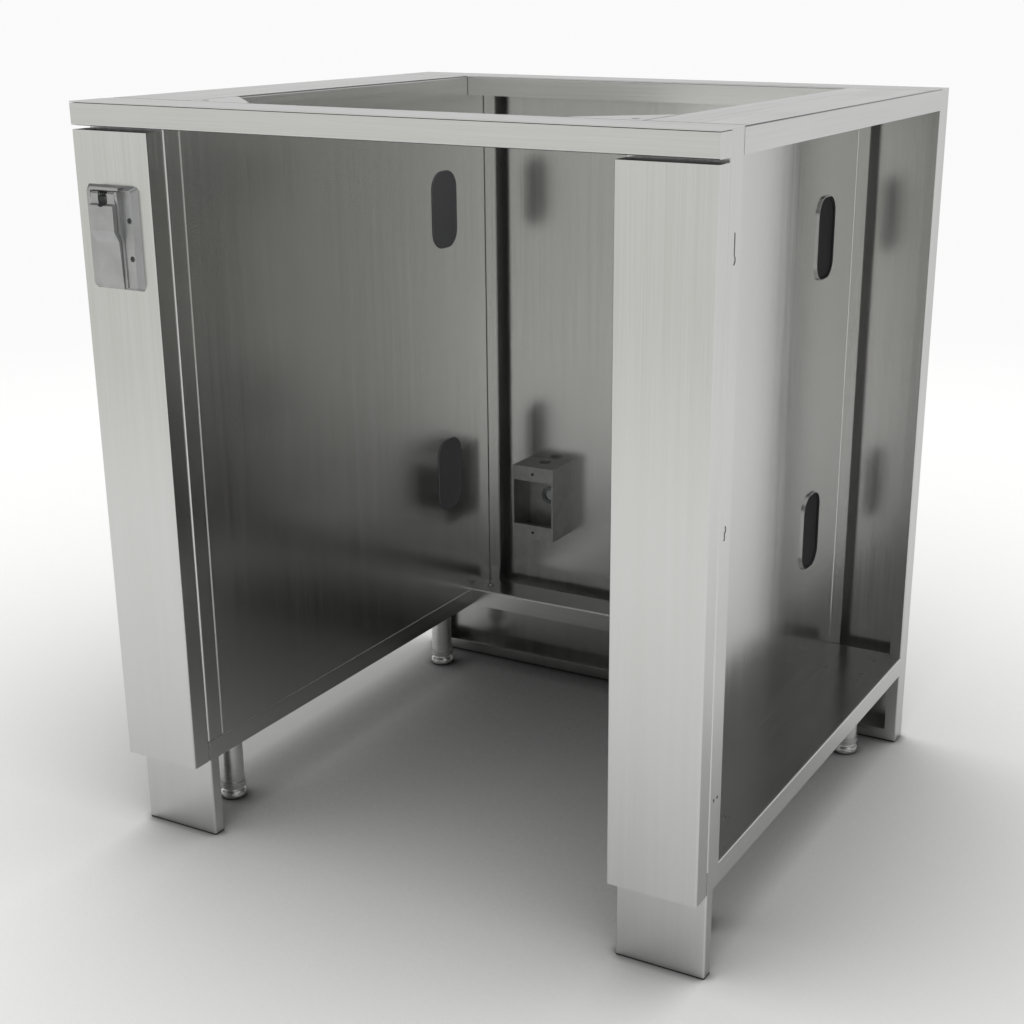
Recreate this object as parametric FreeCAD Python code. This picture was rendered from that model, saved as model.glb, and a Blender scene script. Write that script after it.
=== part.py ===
import FreeCAD, Part
import math
import os

# Open stainless steel cabinet that an undercounter outdoor refrigerator slides into.
# Millimetres, +X to the right, +Y to the back, +Z up.
# The origin is on the floor, below the middle of the bounding box.

# Overall size of the cabinet
WIDTH = 762.0
DEPTH = 711.2
HEIGHT = 876.3

# Folded sheet
SHEET = 1.2
BEND = 1.0
SEAM = 0.8

# Front posts: fascia, the stile behind it and the toe kick below it
FASCIA_WIDTH = 104.0
FASCIA_DEPTH = 26.7
FASCIA_GAP = 4.4
FASCIA_LIP = 18.0
STILE_REVEAL = 1.0
STILE_OUTER_RETURN = 28.5
STILE_INNER_RETURN = 40.0
TOE_HEIGHT = 101.6
TOE_RETURN = 15.0
TOE_FLANGE = 20.0
FLOOR_CLEARANCE = 2.0

# Base, liners and back
BASE_FLANGE = 26.0
BASE_RAIL_DEPTH = 52.5
BASE_LUG = 30.0
BASE_LUG_SCREW = 18.0
LINER_SETBACK = 25.3
LINER_FLANGE = 18.0
LINER_REAR_FLANGE = 16.5
REAR_GAP = 21.5
REAR_STILE_REVEAL = 16.8
REAR_STILE_LAP = 5.0
REAR_STILE_SETBACK = 11.0
BACK_RETURN = 28.5
BACK_LIP = 16.0
BACK_HEM = 15.0
FIT = 0.3

# Top frame
TOP_FLANGE = 25.4
FRONT_RAIL_DEPTH = 39.3
REAR_RAIL_DEPTH = 65.0
APRON_GAP = 0.7
GUSSET_LEG = 80.0
GUSSET_TIP = 6.0
GUSSET_FLANGE = 20.0
GUSSET_HOLE = 8.0
GUSSET_HOLE_INSET = 14.0
GUSSET_SCREW_REACH = 48.0

# Cable ports through the liners, each with a drawn collar and closed by a rubber grommet
PORT_WIDTH = 57.0
PORT_HEIGHT = 100.0
PORT_CORNER = 22.0
PORT_SETBACK = 108.0
PORT_ABOVE_DECK = 196.2
PORT_BELOW_TOP = 148.9
PORT_COLLAR = 2.5
GROMMET_WALL = 2.0
GROMMET_RIM = 2.4
GROMMET_RIM_THICKNESS = 1.2
GROMMET_DISH = 0.5
GROMMET_WEB = 1.6
GROMMET_INSET = 0.6

# Keyholes and fixing holes in the outer returns of the stiles
KEYHOLE_BORE = 8.7
KEYHOLE_SLOT = 4.0
KEYHOLE_LENGTH = 25.6
KEYHOLE_SHORT = 11.0
KEYHOLE_SETBACK = 13.3
KEYHOLE_BELOW_TOP = 118.8
KEYHOLE_ABOVE_DECK = 369.9
FIXING_HOLE = 4.0
FIXING_SPACING = 9.0
FIXING_ABOVE_DECK = 80.0

# Legs and levelling feet
LEG_INSET = 54.0
LEG_FRONT_SETBACK = 97.0
LEG_REAR_SETBACK = 60.5
LEG_DIAMETER = 30.0
LEG_WALL = 1.5
LEG_PLATE = 70.0
LEG_PLATE_THICKNESS = 3.0
LEG_SCREW_INSET = 10.0
PLUG_LENGTH = 22.0
PLUG_RING = 7.8
PLUG_RING_LIP = 1.5
FOOT_DIAMETER = 33.0
FOOT_HEIGHT = 14.4
STEM_DIAMETER = 10.0
STEM_LENGTH = 50.0
RUNNING_FIT = 0.05

# Screws: proportions of a button head, and the sizes
SCREW = 4.0
LEG_SCREW = 6.0
YOKE_SCREW = 3.5
SCREW_CLEARANCE = 0.2
HEAD_WIDTH = 1.9
HEAD_RISE = 0.55
HEAD_RIM = 0.18
HEAD_CROWN = 1.14
HEAD_BULGE = 0.09
SOCKET_WIDTH = 0.62
SOCKET_DEPTH = 0.33
SCREW_END_INSET = 60.0
BACK_SCREW_ROWS = 4
RAIL_SCREW_SPACING = 220.0

# Weather cover and power outlet in the left fascia
COVER_WIDTH = 70.4
COVER_HEIGHT = 113.0
COVER_THICKNESS = 6.0
COVER_BEVEL = 4.0
COVER_CORNER = 3.0
COVER_BELOW_TOP = 113.0
COVER_SCREW = 3.0
COVER_SCREW_OFFSET = 27.2
COVER_SCREW_SPACING = 41.0
GASKET = 1.5
GASKET_INSET = 2.5
OUTLET_OFFSET = 2.0
LID_WIDTH = 33.5
LID_WALL = 1.6
LID_EDGE = 2.5
LID_SLOPE = 2.4
LID_BULGE = 8.5
LID_BOTTOM = 54.0
LID_STEP_LOW = 51.5
LID_STEP_HIGH = 62.5
LID_STEP_ROUND = 5.0
LID_BAND = 11.5
LID_BAND_RISE = 1.5
LID_BAND_ROUND = 0.6
LID_SLOT = 13.0
LID_SLOT_DROP = 13.0
HINGE_ABOVE = 48.0
HINGE_RISE = 4.0
BARREL_DIAMETER = 6.4
HINGE_PIN = 3.0
CHEEK = 3.5
CHEEK_SETBACK = 5.8
CHEEK_FOOT = 1.5
HOOD_GAP = 1.0
HOOD_HEIGHT = 3.0
HOOD_PROUD = 5.0
SPRING_POCKET = 3.0
SPRING_WALL = 1.0
SPRING_LENGTH = 10.0
YOKE_WIDTH = 26.0
YOKE_HEIGHT = 104.0
YOKE_SHEET = 1.2
YOKE_WINDOW_WIDTH = 17.0
YOKE_WINDOW_HEIGHT = 54.0
YOKE_SCREW_SPACING = 83.3
FACE_WIDTH = 28.0
FACE_HEIGHT = 66.5
FACE_THICKNESS = 5.3
FACE_CLEARANCE = 0.9
BODY_DEPTH = 26.0
BODY_WALL = 1.8
SOCKET_SPACING = 38.0
BLADE_SPACING = 12.6
BLADE_SLOT_WIDTH = 1.6
BLADE_SLOT_HEIGHT = 7.0
GROUND_HOLE = 4.8
GROUND_DROP = 9.0
CONTACT_SHEET = 0.8
CONTACT_RECESS = 2.0
BUTTON_WIDTH = 14.0
BUTTON_HEIGHT = 4.6
BUTTON_PITCH = 6.4
BUTTON_PROUD = 0.8
BUTTON_DEPTH = 5.1
DEVICE_BOX_WIDTH = 50.0
DEVICE_BOX_HEIGHT = 98.0
DEVICE_BOX_DEPTH = 42.0
DEVICE_BOX_WALL = 1.6
DEVICE_BOX_RIM = 5.0
DEVICE_BOX_EAR = 8.0
DEVICE_BOX_ROOM = 1.0
KNOCKOUT = 22.0

# Junction box on the back panel
JUNCTION_WIDTH = 68.0
JUNCTION_HEIGHT = 112.0
JUNCTION_DEPTH = 51.0
JUNCTION_WALL = 2.5
JUNCTION_EAR = 22.0
JUNCTION_EAR_DEPTH = 7.0
JUNCTION_CORNER = 2.0
JUNCTION_X = -182.0
JUNCTION_ABOVE_DECK = 142.0
JUNCTION_COVER_HOLE = 4.5
CONDUIT_HOLE = 18.0
CONDUIT_SETBACK = 17.0
CONDUIT_OFFSET = 2.5
ENTRY_BORE = 16.0
ENTRY_WALL = 2.0
ENTRY_RIM = 3.0
ENTRY_RIM_HEIGHT = 3.0
ENTRY_OFFSET = 3.0
ENTRY_RISE = 0.5
JUNCTION_SCREW_SPREAD = 26.0
JUNCTION_SCREW_DROP = 30.0

# Planes of the front, carcass and rear
LID_PROUD = GASKET + COVER_THICKNESS + FIT + LID_EDGE + LID_BULGE
REAR_PROUD = SCREW * HEAD_RISE
HALF = WIDTH / 2
Y_FRONT = (LID_PROUD - REAR_PROUD - DEPTH) / 2
Y_CARCASS = Y_FRONT + FASCIA_DEPTH
Y_BACK = Y_FRONT + DEPTH
Y_PANEL = Y_BACK - SHEET
Y_REAR = Y_PANEL - REAR_GAP
Y_RETURN = Y_BACK - BACK_RETURN
Y_TOP_FRONT = Y_CARCASS + FRONT_RAIL_DEPTH
Y_TOP_REAR = Y_PANEL - REAR_RAIL_DEPTH
Y_BASE_RAIL = Y_REAR - BASE_RAIL_DEPTH

# Planes across the width, on the right side
X_FASCIA = HALF - FASCIA_WIDTH
X_POST = X_FASCIA - STILE_REVEAL
X_LINER = X_POST - SHEET
X_RAIL = X_LINER - SHEET
X_STILE_IN = X_LINER - REAR_STILE_REVEAL
X_STILE_OUT = X_LINER + LINER_REAR_FLANGE

# Levels
Z_BASE = TOE_HEIGHT
Z_DECK = Z_BASE + BASE_FLANGE
Z_TOP = HEIGHT
Z_UNDER = Z_TOP - TOP_FLANGE
Z_FASCIA = Z_UNDER - FASCIA_GAP

# Places of the legs, of the outlet and of the junction box
LEG_X = HALF - LEG_INSET
LEG_PLACES = {
    "front_left": (-LEG_X, Y_CARCASS + LEG_FRONT_SETBACK),
    "front_right": (LEG_X, Y_CARCASS + LEG_FRONT_SETBACK),
    "rear_left": (-LEG_X, Y_REAR - LEG_REAR_SETBACK),
    "rear_right": (LEG_X, Y_REAR - LEG_REAR_SETBACK),
}
COVER_X = -(HALF - FASCIA_WIDTH / 2)
COVER_Z = Z_FASCIA - COVER_BELOW_TOP
OUTLET_X = COVER_X - OUTLET_OFFSET
COVER_FACE = Y_FRONT - GASKET - COVER_THICKNESS
HINGE_Y = COVER_FACE - HINGE_RISE
HINGE_Z = COVER_Z + HINGE_ABOVE
YOKE_FACE = Y_FRONT - YOKE_SHEET
FACE_FRONT = YOKE_FACE - FACE_THICKNESS
JUNCTION_Z = Z_DECK + JUNCTION_ABOVE_DECK
JUNCTION_FRONT = Y_PANEL - JUNCTION_DEPTH

# Directions
RIGHT = FreeCAD.Vector(1, 0, 0)
BACK = FreeCAD.Vector(0, 1, 0)
UP = FreeCAD.Vector(0, 0, 1)
TOUCHING = 1e-6
PAST = 5.0


def vec(x, y, z):
    """Point or direction from its three coordinates."""
    return FreeCAD.Vector(x, y, z)


def box(x0, x1, y0, y1, z0, z1):
    """Block between two corners."""
    return Part.makeBox(x1 - x0, y1 - y0, z1 - z0, vec(x0, y0, z0))


def block(x, z, width, height, front, back):
    """Block centred on x and z that runs from front to back."""
    return box(x - width / 2, x + width / 2, front, back, z - height / 2, z + height / 2)


def rod(diameter, start, direction, length):
    """Round bar from start along direction."""
    return Part.makeCylinder(diameter / 2, length, start, direction)


def mirrored(shape):
    """The left-hand copy of a right-hand shape."""
    return shape.mirror(vec(0, 0, 0), RIGHT)


def both(shape):
    """A shape and its left-hand copy."""
    return [shape, mirrored(shape)]


def outline(points, radii):
    """Closed wire through points, with each corner rounded by its own radius."""
    corners = []
    for index, corner in enumerate(points):
        radius = radii[index]
        if radius <= 0:
            corners.append((corner, None, corner))
            continue
        before = (points[index - 1] - corner).normalize()
        after = (points[(index + 1) % len(points)] - corner).normalize()
        half_angle = before.getAngle(after) / 2
        reach = radius / math.tan(half_angle)
        centre = corner + (before + after).normalize() * (radius / math.sin(half_angle))
        middle = centre + (corner - centre).normalize() * radius
        corners.append((corner + before * reach, middle, corner + after * reach))
    edges = []
    for index, (start, middle, end) in enumerate(corners):
        if middle is not None:
            edges.append(Part.Arc(start, middle, end).toShape())
        following = corners[(index + 1) % len(corners)][0]
        if end.distanceToPoint(following) > TOUCHING:
            edges.append(Part.makeLine(end, following))
    return Part.Wire(edges)


def upright(pairs, radii, low, high):
    """Outline in x and y, carried up from low to high."""
    points = [vec(x, y, low) for x, y in pairs]
    return Part.Face(outline(points, radii)).extrude(UP * (high - low))


def crosswise(pairs, radii, left, right):
    """Outline in y and z, carried across from left to right."""
    points = [vec(left, y, z) for y, z in pairs]
    return Part.Face(outline(points, radii)).extrude(RIGHT * (right - left))


def depthwise(pairs, radii, front, back):
    """Outline in x and z, carried from front to back."""
    points = [vec(x, front, z) for x, z in pairs]
    return Part.Face(outline(points, radii)).extrude(BACK * (back - front))


def folded(path, side):
    """Outline of a folded sheet: path is one face, the sheet lies to its left (1) or right (-1)."""
    normals = []
    for (a0, b0), (a1, b1) in zip(path, path[1:]):
        length = math.hypot(a1 - a0, b1 - b0)
        normals.append((side * (b0 - b1) / length, side * (a1 - a0) / length))
    first, last = normals[0], normals[-1]
    far = [(path[0][0] + first[0] * SHEET, path[0][1] + first[1] * SHEET)]
    near_radii = [0.0]
    far_radii = [0.0]
    for (a, b), one, two in zip(path[1:-1], normals, normals[1:]):
        share = SHEET / (1 + one[0] * two[0] + one[1] * two[1])
        far.append((a + (one[0] + two[0]) * share, b + (one[1] + two[1]) * share))
        sheet_inside = (one[0] * two[1] - one[1] * two[0]) * side > 0
        near_radii.append(BEND + SHEET if sheet_inside else BEND)
        far_radii.append(BEND if sheet_inside else BEND + SHEET)
    far.append((path[-1][0] + last[0] * SHEET, path[-1][1] + last[1] * SHEET))
    near_radii.append(0.0)
    far_radii.append(0.0)
    return path + far[::-1], near_radii + far_radii[::-1]


def screw(spot, out, diameter, grip):
    """Button-head screw: the head seats at spot and stands along out, the shank runs the other way."""
    head = diameter * HEAD_WIDTH / 2
    rise = diameter * HEAD_RISE
    rim = diameter * HEAD_RIM
    crown = diameter * HEAD_CROWN / 2
    out_by = diameter * HEAD_BULGE
    bulge = vec((head + crown) / 2 + out_by, 0, (rim + rise) / 2 + out_by)
    corners = [vec(0, 0, -grip), vec(diameter / 2, 0, -grip), vec(diameter / 2, 0, 0),
               vec(head, 0, 0), vec(head, 0, rim)]
    edges = [Part.makeLine(one, two) for one, two in zip(corners, corners[1:])]
    edges.append(Part.Arc(corners[-1], bulge, vec(crown, 0, rise)).toShape())
    edges.append(Part.makeLine(vec(crown, 0, rise), vec(0, 0, rise)))
    edges.append(Part.makeLine(vec(0, 0, rise), corners[0]))
    turned = Part.Face(Part.Wire(edges)).revolve(vec(0, 0, 0), UP, 360)
    flat = diameter * SOCKET_WIDTH / math.sqrt(3)
    hexagon = [vec(flat * math.cos(turn), flat * math.sin(turn), rise - diameter * SOCKET_DEPTH)
               for turn in (math.radians(60 * step) for step in range(7))]
    socket = Part.Face(Part.makePolygon(hexagon)).extrude(UP * rise)
    solid = turned.cut(socket)
    solid.Placement = FreeCAD.Placement(spot, FreeCAD.Rotation(UP, out))
    return solid


def hole(spot, out, diameter, depth):
    """Clearance hole for a screw that seats at spot, cut to depth below it."""
    return rod(diameter + 2 * SCREW_CLEARANCE, spot + out * TOUCHING, out * -1, depth)


def group(shapes):
    """Separate solids that share one node."""
    return Part.makeCompound(shapes)


# Places of the screws, each with the direction in which its head stands
def fascia_screw_places():
    """Screws on the right post: from behind, through the stile into the lips of the fascia."""
    columns = (X_FASCIA + FASCIA_LIP / 2, HALF - FASCIA_LIP / 2)
    rows = (Z_DECK + SCREW_END_INSET, Z_FASCIA - SCREW_END_INSET)
    return [vec(x, Y_CARCASS + SHEET, z) for x in columns for z in rows]


def toe_screw_places():
    """Screws on the right post: from below, through the toe kick's flange into the base."""
    inset = STILE_OUTER_RETURN
    y = Y_CARCASS + (SHEET + TOE_FLANGE) / 2
    return [vec(x, y, Z_BASE - SHEET) for x in (X_POST + inset, HALF - inset)]


def back_screw_places():
    """Screws in the back panel: a column into each rear stile and a row into the top rear rail."""
    column = (X_STILE_IN + REAR_STILE_SETBACK + X_LINER + REAR_STILE_LAP) / 2
    low = Z_DECK + SCREW_END_INSET
    step = (Z_UNDER - SCREW_END_INSET - low) / (BACK_SCREW_ROWS - 1)
    column_places = [vec(x, Y_BACK, low + step * row)
                     for x in (-column, column) for row in range(BACK_SCREW_ROWS)]
    row_places = [vec(x, Y_BACK, Z_TOP - TOP_FLANGE / 2)
                  for x in (-RAIL_SCREW_SPACING, 0.0, RAIL_SCREW_SPACING)]
    return column_places, row_places


def base_rail_screw_places():
    """Screws from above, through the ends of the rear base rail into the lugs of the base pans."""
    y = (Y_BASE_RAIL + Y_REAR) / 2
    return [vec(side * (X_POST - BASE_LUG_SCREW), y, Z_DECK) for side in (-1, 1)]


def gusset_screw_places():
    """Screws of the right gusset: one into the side rail, one into the front rail."""
    z = Z_TOP - TOP_FLANGE / 2
    return [(vec(X_RAIL - SHEET, Y_TOP_FRONT + GUSSET_SCREW_REACH, z), RIGHT * -1),
            (vec(X_RAIL - GUSSET_SCREW_REACH, Y_TOP_FRONT + SHEET, z), BACK)]


def leg_screw_places(x, y):
    """Screws of one leg: from below, through its plate into the deck of the base."""
    reach = LEG_PLATE / 2 - LEG_SCREW_INSET
    z = Z_DECK - SHEET - LEG_PLATE_THICKNESS
    return [vec(x + dx * reach, y + dy * reach, z) for dx in (-1, 1) for dy in (-1, 1)]


def cover_screw_places():
    """Screws in the bare strip of the weather cover, sunk flush, into the fascia."""
    x = COVER_X + COVER_SCREW_OFFSET
    y = COVER_FACE + COVER_SCREW * HEAD_RISE
    return [vec(x, y, COVER_Z + side * COVER_SCREW_SPACING / 2) for side in (-1, 1)]


def yoke_screw_places():
    """Screws that clamp the yoke and the device box on the fascia."""
    return [vec(OUTLET_X, YOKE_FACE, COVER_Z + side * YOKE_SCREW_SPACING / 2) for side in (-1, 1)]


def junction_screw_places():
    """Screws inside the junction box, into the back panel."""
    y = Y_PANEL - JUNCTION_WALL
    return [vec(JUNCTION_X - side * JUNCTION_SCREW_SPREAD / 2, y, JUNCTION_Z + side * JUNCTION_SCREW_DROP)
            for side in (-1, 1)]


# Top frame
def top_front_rail():
    """Front rail: a top plate that reaches over the apron, a leg behind the apron and a rear flange."""
    path = [(Y_FRONT, Z_TOP), (Y_TOP_FRONT, Z_TOP), (Y_TOP_FRONT, Z_UNDER)]
    rail = crosswise(*folded(path, -1), -HALF, HALF)
    front_leg = box(-HALF, HALF, Y_CARCASS, Y_CARCASS + SHEET, Z_UNDER, Z_TOP - SHEET)
    rail = rail.fuse(front_leg).removeSplitter()
    spot, out = gusset_screw_places()[1]
    end = box(HALF - SHEET, HALF + PAST, Y_CARCASS, Y_TOP_FRONT + PAST, Z_UNDER - PAST, Z_TOP + PAST)
    return rail.cut(both(hole(spot, out, SCREW, 2 * SHEET + TOUCHING * 2)) + both(end))


def top_rear_rail():
    """Channel across the back, open below, that the back panel is screwed to."""
    path = [(Y_TOP_REAR, Z_UNDER), (Y_TOP_REAR, Z_TOP), (Y_PANEL, Z_TOP), (Y_PANEL, Z_UNDER)]
    rail = crosswise(*folded(path, -1), SHEET - HALF, HALF - SHEET)
    return rail.cut([hole(spot, BACK, SCREW, 3 * SHEET) for spot in back_screw_places()[1]])


def top_side_rail():
    """Right rail: a wide channel, whose outer flange runs on past the front and rear rails."""
    path = [(HALF, Z_UNDER), (HALF, Z_TOP), (X_RAIL, Z_TOP), (X_RAIL, Z_UNDER)]
    rail = depthwise(*folded(path, 1), Y_CARCASS + STILE_OUTER_RETURN + SEAM, Y_RETURN - SEAM)
    inside = HALF - SHEET
    front = Y_TOP_FRONT + SEAM
    rear = Y_TOP_REAR - SEAM
    rail = rail.cut([box(X_RAIL - PAST, inside, Y_CARCASS, front, Z_UNDER - PAST, Z_TOP + PAST),
                     box(X_RAIL - PAST, inside, rear, Y_BACK, Z_UNDER - PAST, Z_TOP + PAST)])
    spot, out = gusset_screw_places()[0]
    return rail.cut(hole(spot, out, SCREW, 2 * SHEET + TOUCHING * 2))


def front_apron():
    """Folded strip below the front rail's plate, with closed ends and a shadow gap above it."""
    top = Z_TOP - SHEET - APRON_GAP
    path = [(Y_CARCASS, Z_UNDER), (Y_FRONT, Z_UNDER), (Y_FRONT, top)]
    strip = crosswise(*folded(path, -1), -HALF, HALF)
    end = box(HALF - SHEET, HALF, Y_FRONT + SHEET, Y_CARCASS, Z_UNDER + SHEET, top)
    return strip.fuse(both(end)).removeSplitter()


def corner_gusset():
    """Right corner plate of the top frame, with two flanges screwed to the rails and a fixing hole."""
    x, y = X_RAIL, Y_TOP_FRONT
    pairs = [(x, y), (x, y + GUSSET_LEG), (x - GUSSET_TIP, y + GUSSET_LEG),
             (x - GUSSET_LEG, y + GUSSET_TIP), (x - GUSSET_LEG, y)]
    plate = upright(pairs, [0.0] * len(pairs), Z_TOP - SHEET, Z_TOP)
    low = Z_TOP - GUSSET_FLANGE
    flanges = [box(x - SHEET, x, y, y + GUSSET_LEG, low, Z_TOP - SHEET),
               box(x - GUSSET_LEG, x, y, y + SHEET, low, Z_TOP - SHEET)]
    gusset = plate.fuse(flanges).removeSplitter()
    spot = vec(x - GUSSET_HOLE_INSET, y + GUSSET_HOLE_INSET, Z_TOP - PAST)
    cuts = [rod(GUSSET_HOLE, spot, UP, 2 * PAST)]
    cuts += [hole(place, out, SCREW, 2 * SHEET) for place, out in gusset_screw_places()]
    return gusset.cut(cuts)


# Front posts
def keyhole(z, length):
    """Hanging hole through the outer return of the right stile: a bore with a slot up (or down, below 0)."""
    y = Y_CARCASS + KEYHOLE_SETBACK
    start = vec(HALF - PAST, y, z)
    end = z + length - math.copysign(KEYHOLE_SLOT / 2, length)
    slot = box(HALF - PAST, HALF + PAST, y - KEYHOLE_SLOT / 2, y + KEYHOLE_SLOT / 2, min(z, end), max(z, end))
    tip = rod(KEYHOLE_SLOT, vec(HALF - PAST, y, end), RIGHT, 2 * PAST)
    return rod(KEYHOLE_BORE, start, RIGHT, 2 * PAST).fuse([slot, tip])


def front_stile():
    """Right stile: a channel on the deck, whose outer return runs from the base to the top."""
    outer_end = Y_CARCASS + STILE_OUTER_RETURN
    path = [(X_POST, Y_CARCASS + STILE_INNER_RETURN), (X_POST, Y_CARCASS),
            (HALF, Y_CARCASS), (HALF, outer_end)]
    channel = upright(*folded(path, 1), Z_DECK, Z_UNDER)
    tabs = [box(HALF - SHEET, HALF, Y_CARCASS, outer_end, low, high)
            for low, high in ((Z_BASE, Z_DECK), (Z_UNDER, Z_TOP))]
    stile = channel.fuse(tabs).removeSplitter()
    cuts = [keyhole(Z_TOP - KEYHOLE_BELOW_TOP, KEYHOLE_LENGTH),
            keyhole(Z_DECK + KEYHOLE_ABOVE_DECK, -KEYHOLE_SHORT)]
    cuts += [hole(spot, BACK, SCREW, 2 * SHEET) for spot in fascia_screw_places()]
    for step in (-0.5, 0.5):
        y = Y_CARCASS + STILE_OUTER_RETURN / 2 + step * FIXING_SPACING
        cuts.append(rod(FIXING_HOLE, vec(HALF - PAST, y, Z_DECK + FIXING_ABOVE_DECK), RIGHT, 2 * PAST))
    return stile.cut(cuts)


def left_front_stile():
    """Left stile, with a window in its web for the device box."""
    window = block(OUTLET_X, COVER_Z, DEVICE_BOX_WIDTH + 2 * DEVICE_BOX_ROOM,
                   DEVICE_BOX_HEIGHT + 2 * DEVICE_BOX_ROOM, Y_CARCASS - PAST, Y_CARCASS + PAST)
    return mirrored(front_stile()).cut(window)


def fascia():
    """Right fascia: a folded pan with in-turned lips behind, closed below and open above."""
    path = [(X_FASCIA + FASCIA_LIP, Y_CARCASS), (X_FASCIA, Y_CARCASS), (X_FASCIA, Y_FRONT),
            (HALF, Y_FRONT), (HALF, Y_CARCASS), (HALF - FASCIA_LIP, Y_CARCASS)]
    pan = upright(*folded(path, 1), Z_BASE, Z_FASCIA)
    foot_plate = box(X_FASCIA + SHEET, HALF - SHEET, Y_FRONT + SHEET, Y_CARCASS - SHEET,
                     Z_BASE, Z_BASE + SHEET)
    pan = pan.fuse(foot_plate).removeSplitter()
    return pan.cut([hole(spot, BACK, SCREW, 3 * SHEET) for spot in fascia_screw_places()])


def left_fascia():
    """Left fascia, with the window of the device box and the holes of the weather cover."""
    rim = 2 * DEVICE_BOX_RIM
    cuts = [block(OUTLET_X, COVER_Z, DEVICE_BOX_WIDTH - rim, DEVICE_BOX_HEIGHT - rim,
                  Y_FRONT - PAST, Y_FRONT + PAST)]
    cuts += [hole(spot, BACK * -1, COVER_SCREW, COVER_THICKNESS + GASKET + 2 * SHEET)
             for spot in cover_screw_places()]
    return mirrored(fascia()).cut(cuts)


def toe_kick():
    """Right toe kick: a channel below the fascia, with a flange screwed up into the base."""
    path = [(X_POST, Y_CARCASS + TOE_RETURN), (X_POST, Y_CARCASS),
            (HALF, Y_CARCASS), (HALF, Y_CARCASS + TOE_RETURN)]
    channel = upright(*folded(path, 1), FLOOR_CLEARANCE, Z_BASE)
    flange = box(X_POST + SHEET, HALF - SHEET, Y_CARCASS + SHEET, Y_CARCASS + TOE_FLANGE,
                 Z_BASE - SHEET, Z_BASE)
    kick = channel.fuse(flange).removeSplitter()
    return kick.cut([hole(spot, UP * -1, SCREW, 2 * SHEET) for spot in toe_screw_places()])


# Base, liners and back
def base_pan():
    """Right base: a deck with flanges turned down all round and a lug for the rear rail."""
    path = [(HALF, Z_BASE), (HALF, Z_DECK), (X_POST, Z_DECK), (X_POST, Z_BASE)]
    pan = depthwise(*folded(path, 1), Y_CARCASS, Y_REAR)
    inside = HALF - SHEET
    lug_y = (Y_BASE_RAIL + Y_REAR) / 2
    lug_z = Z_DECK - SHEET
    more = [box(X_POST + SHEET, inside, Y_CARCASS, Y_CARCASS + SHEET, Z_BASE, Z_DECK - SHEET),
            box(X_POST + SHEET, inside, Y_CARCASS, Y_CARCASS + TOE_FLANGE, Z_BASE, Z_BASE + SHEET),
            box(X_POST + SHEET, inside, Y_REAR - SHEET, Y_REAR, Z_BASE, Z_DECK - SHEET),
            box(X_POST - BASE_LUG, X_POST + SHEET, lug_y - BASE_LUG / 2, lug_y + BASE_LUG / 2,
                lug_z - SHEET, lug_z)]
    pan = pan.fuse(more).removeSplitter()
    cuts = [box(inside, HALF + PAST, Y_CARCASS - PAST, Y_CARCASS + STILE_OUTER_RETURN, 0, Z_TOP),
            box(HALF - BACK_LIP - FIT, HALF + PAST, Y_RETURN, Y_BACK, 0, Z_TOP)]
    cuts += [hole(spot, UP * -1, SCREW, 3 * SHEET) for spot in toe_screw_places()]
    cuts += [hole(base_rail_screw_places()[1], UP, SCREW, 3 * SHEET)]
    for x, y in LEG_PLACES.values():
        if x > 0:
            cuts += [hole(spot, UP * -1, LEG_SCREW, LEG_PLATE_THICKNESS + 2 * SHEET)
                     for spot in leg_screw_places(x, y)]
    return pan.cut(cuts)


def rear_base_rail():
    """Channel across the back of the bay, open below, resting on the lugs of the base pans."""
    path = [(Y_BASE_RAIL, Z_BASE), (Y_BASE_RAIL, Z_DECK), (Y_REAR, Z_DECK), (Y_REAR, Z_BASE)]
    rail = crosswise(*folded(path, -1), -X_POST, X_POST)
    return rail.cut([hole(spot, UP, SCREW, 2 * SHEET) for spot in base_rail_screw_places()])


def port_places():
    """Centres, in y and z, of the two cable ports of a liner."""
    y = Y_REAR - PORT_SETBACK
    return [(y, Z_DECK + PORT_ABOVE_DECK), (y, Z_UNDER - PORT_BELOW_TOP)]


def port(x, y, z, grow, length):
    """Rounded rectangle of a cable port, grown all round, carried along +X from x."""
    across = PORT_WIDTH / 2 + grow
    rise = PORT_HEIGHT / 2 + grow
    pairs = [(y - across, z - rise), (y + across, z - rise), (y + across, z + rise), (y - across, z + rise)]
    return crosswise(pairs, [PORT_CORNER + grow] * len(pairs), x, x + length)


def liner():
    """Right liner: the wall of the bay, with flanges turned away from it and two collared cable ports."""
    front = Y_CARCASS + LINER_SETBACK
    path = [(X_LINER, front), (X_LINER, Y_REAR), (X_STILE_OUT, Y_REAR)]
    wall = upright(*folded(path, -1), Z_DECK, Z_UNDER)
    more = [box(X_LINER, X_POST, Y_TOP_FRONT + FIT, Y_TOP_REAR - FIT, Z_UNDER, Z_TOP - SHEET - BEND),
            box(X_LINER, X_LINER + LINER_FLANGE, Y_CARCASS + STILE_INNER_RETURN + FIT, Y_REAR - BEND - SHEET,
                Z_DECK, Z_DECK + SHEET)]
    more += [port(X_LINER, y, z, SHEET, SHEET + PORT_COLLAR) for y, z in port_places()]
    wall = wall.fuse(more).removeSplitter()
    return wall.cut([port(X_LINER - PAST, y, z, 0.0, PORT_COLLAR + 3 * PAST) for y, z in port_places()])


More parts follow.
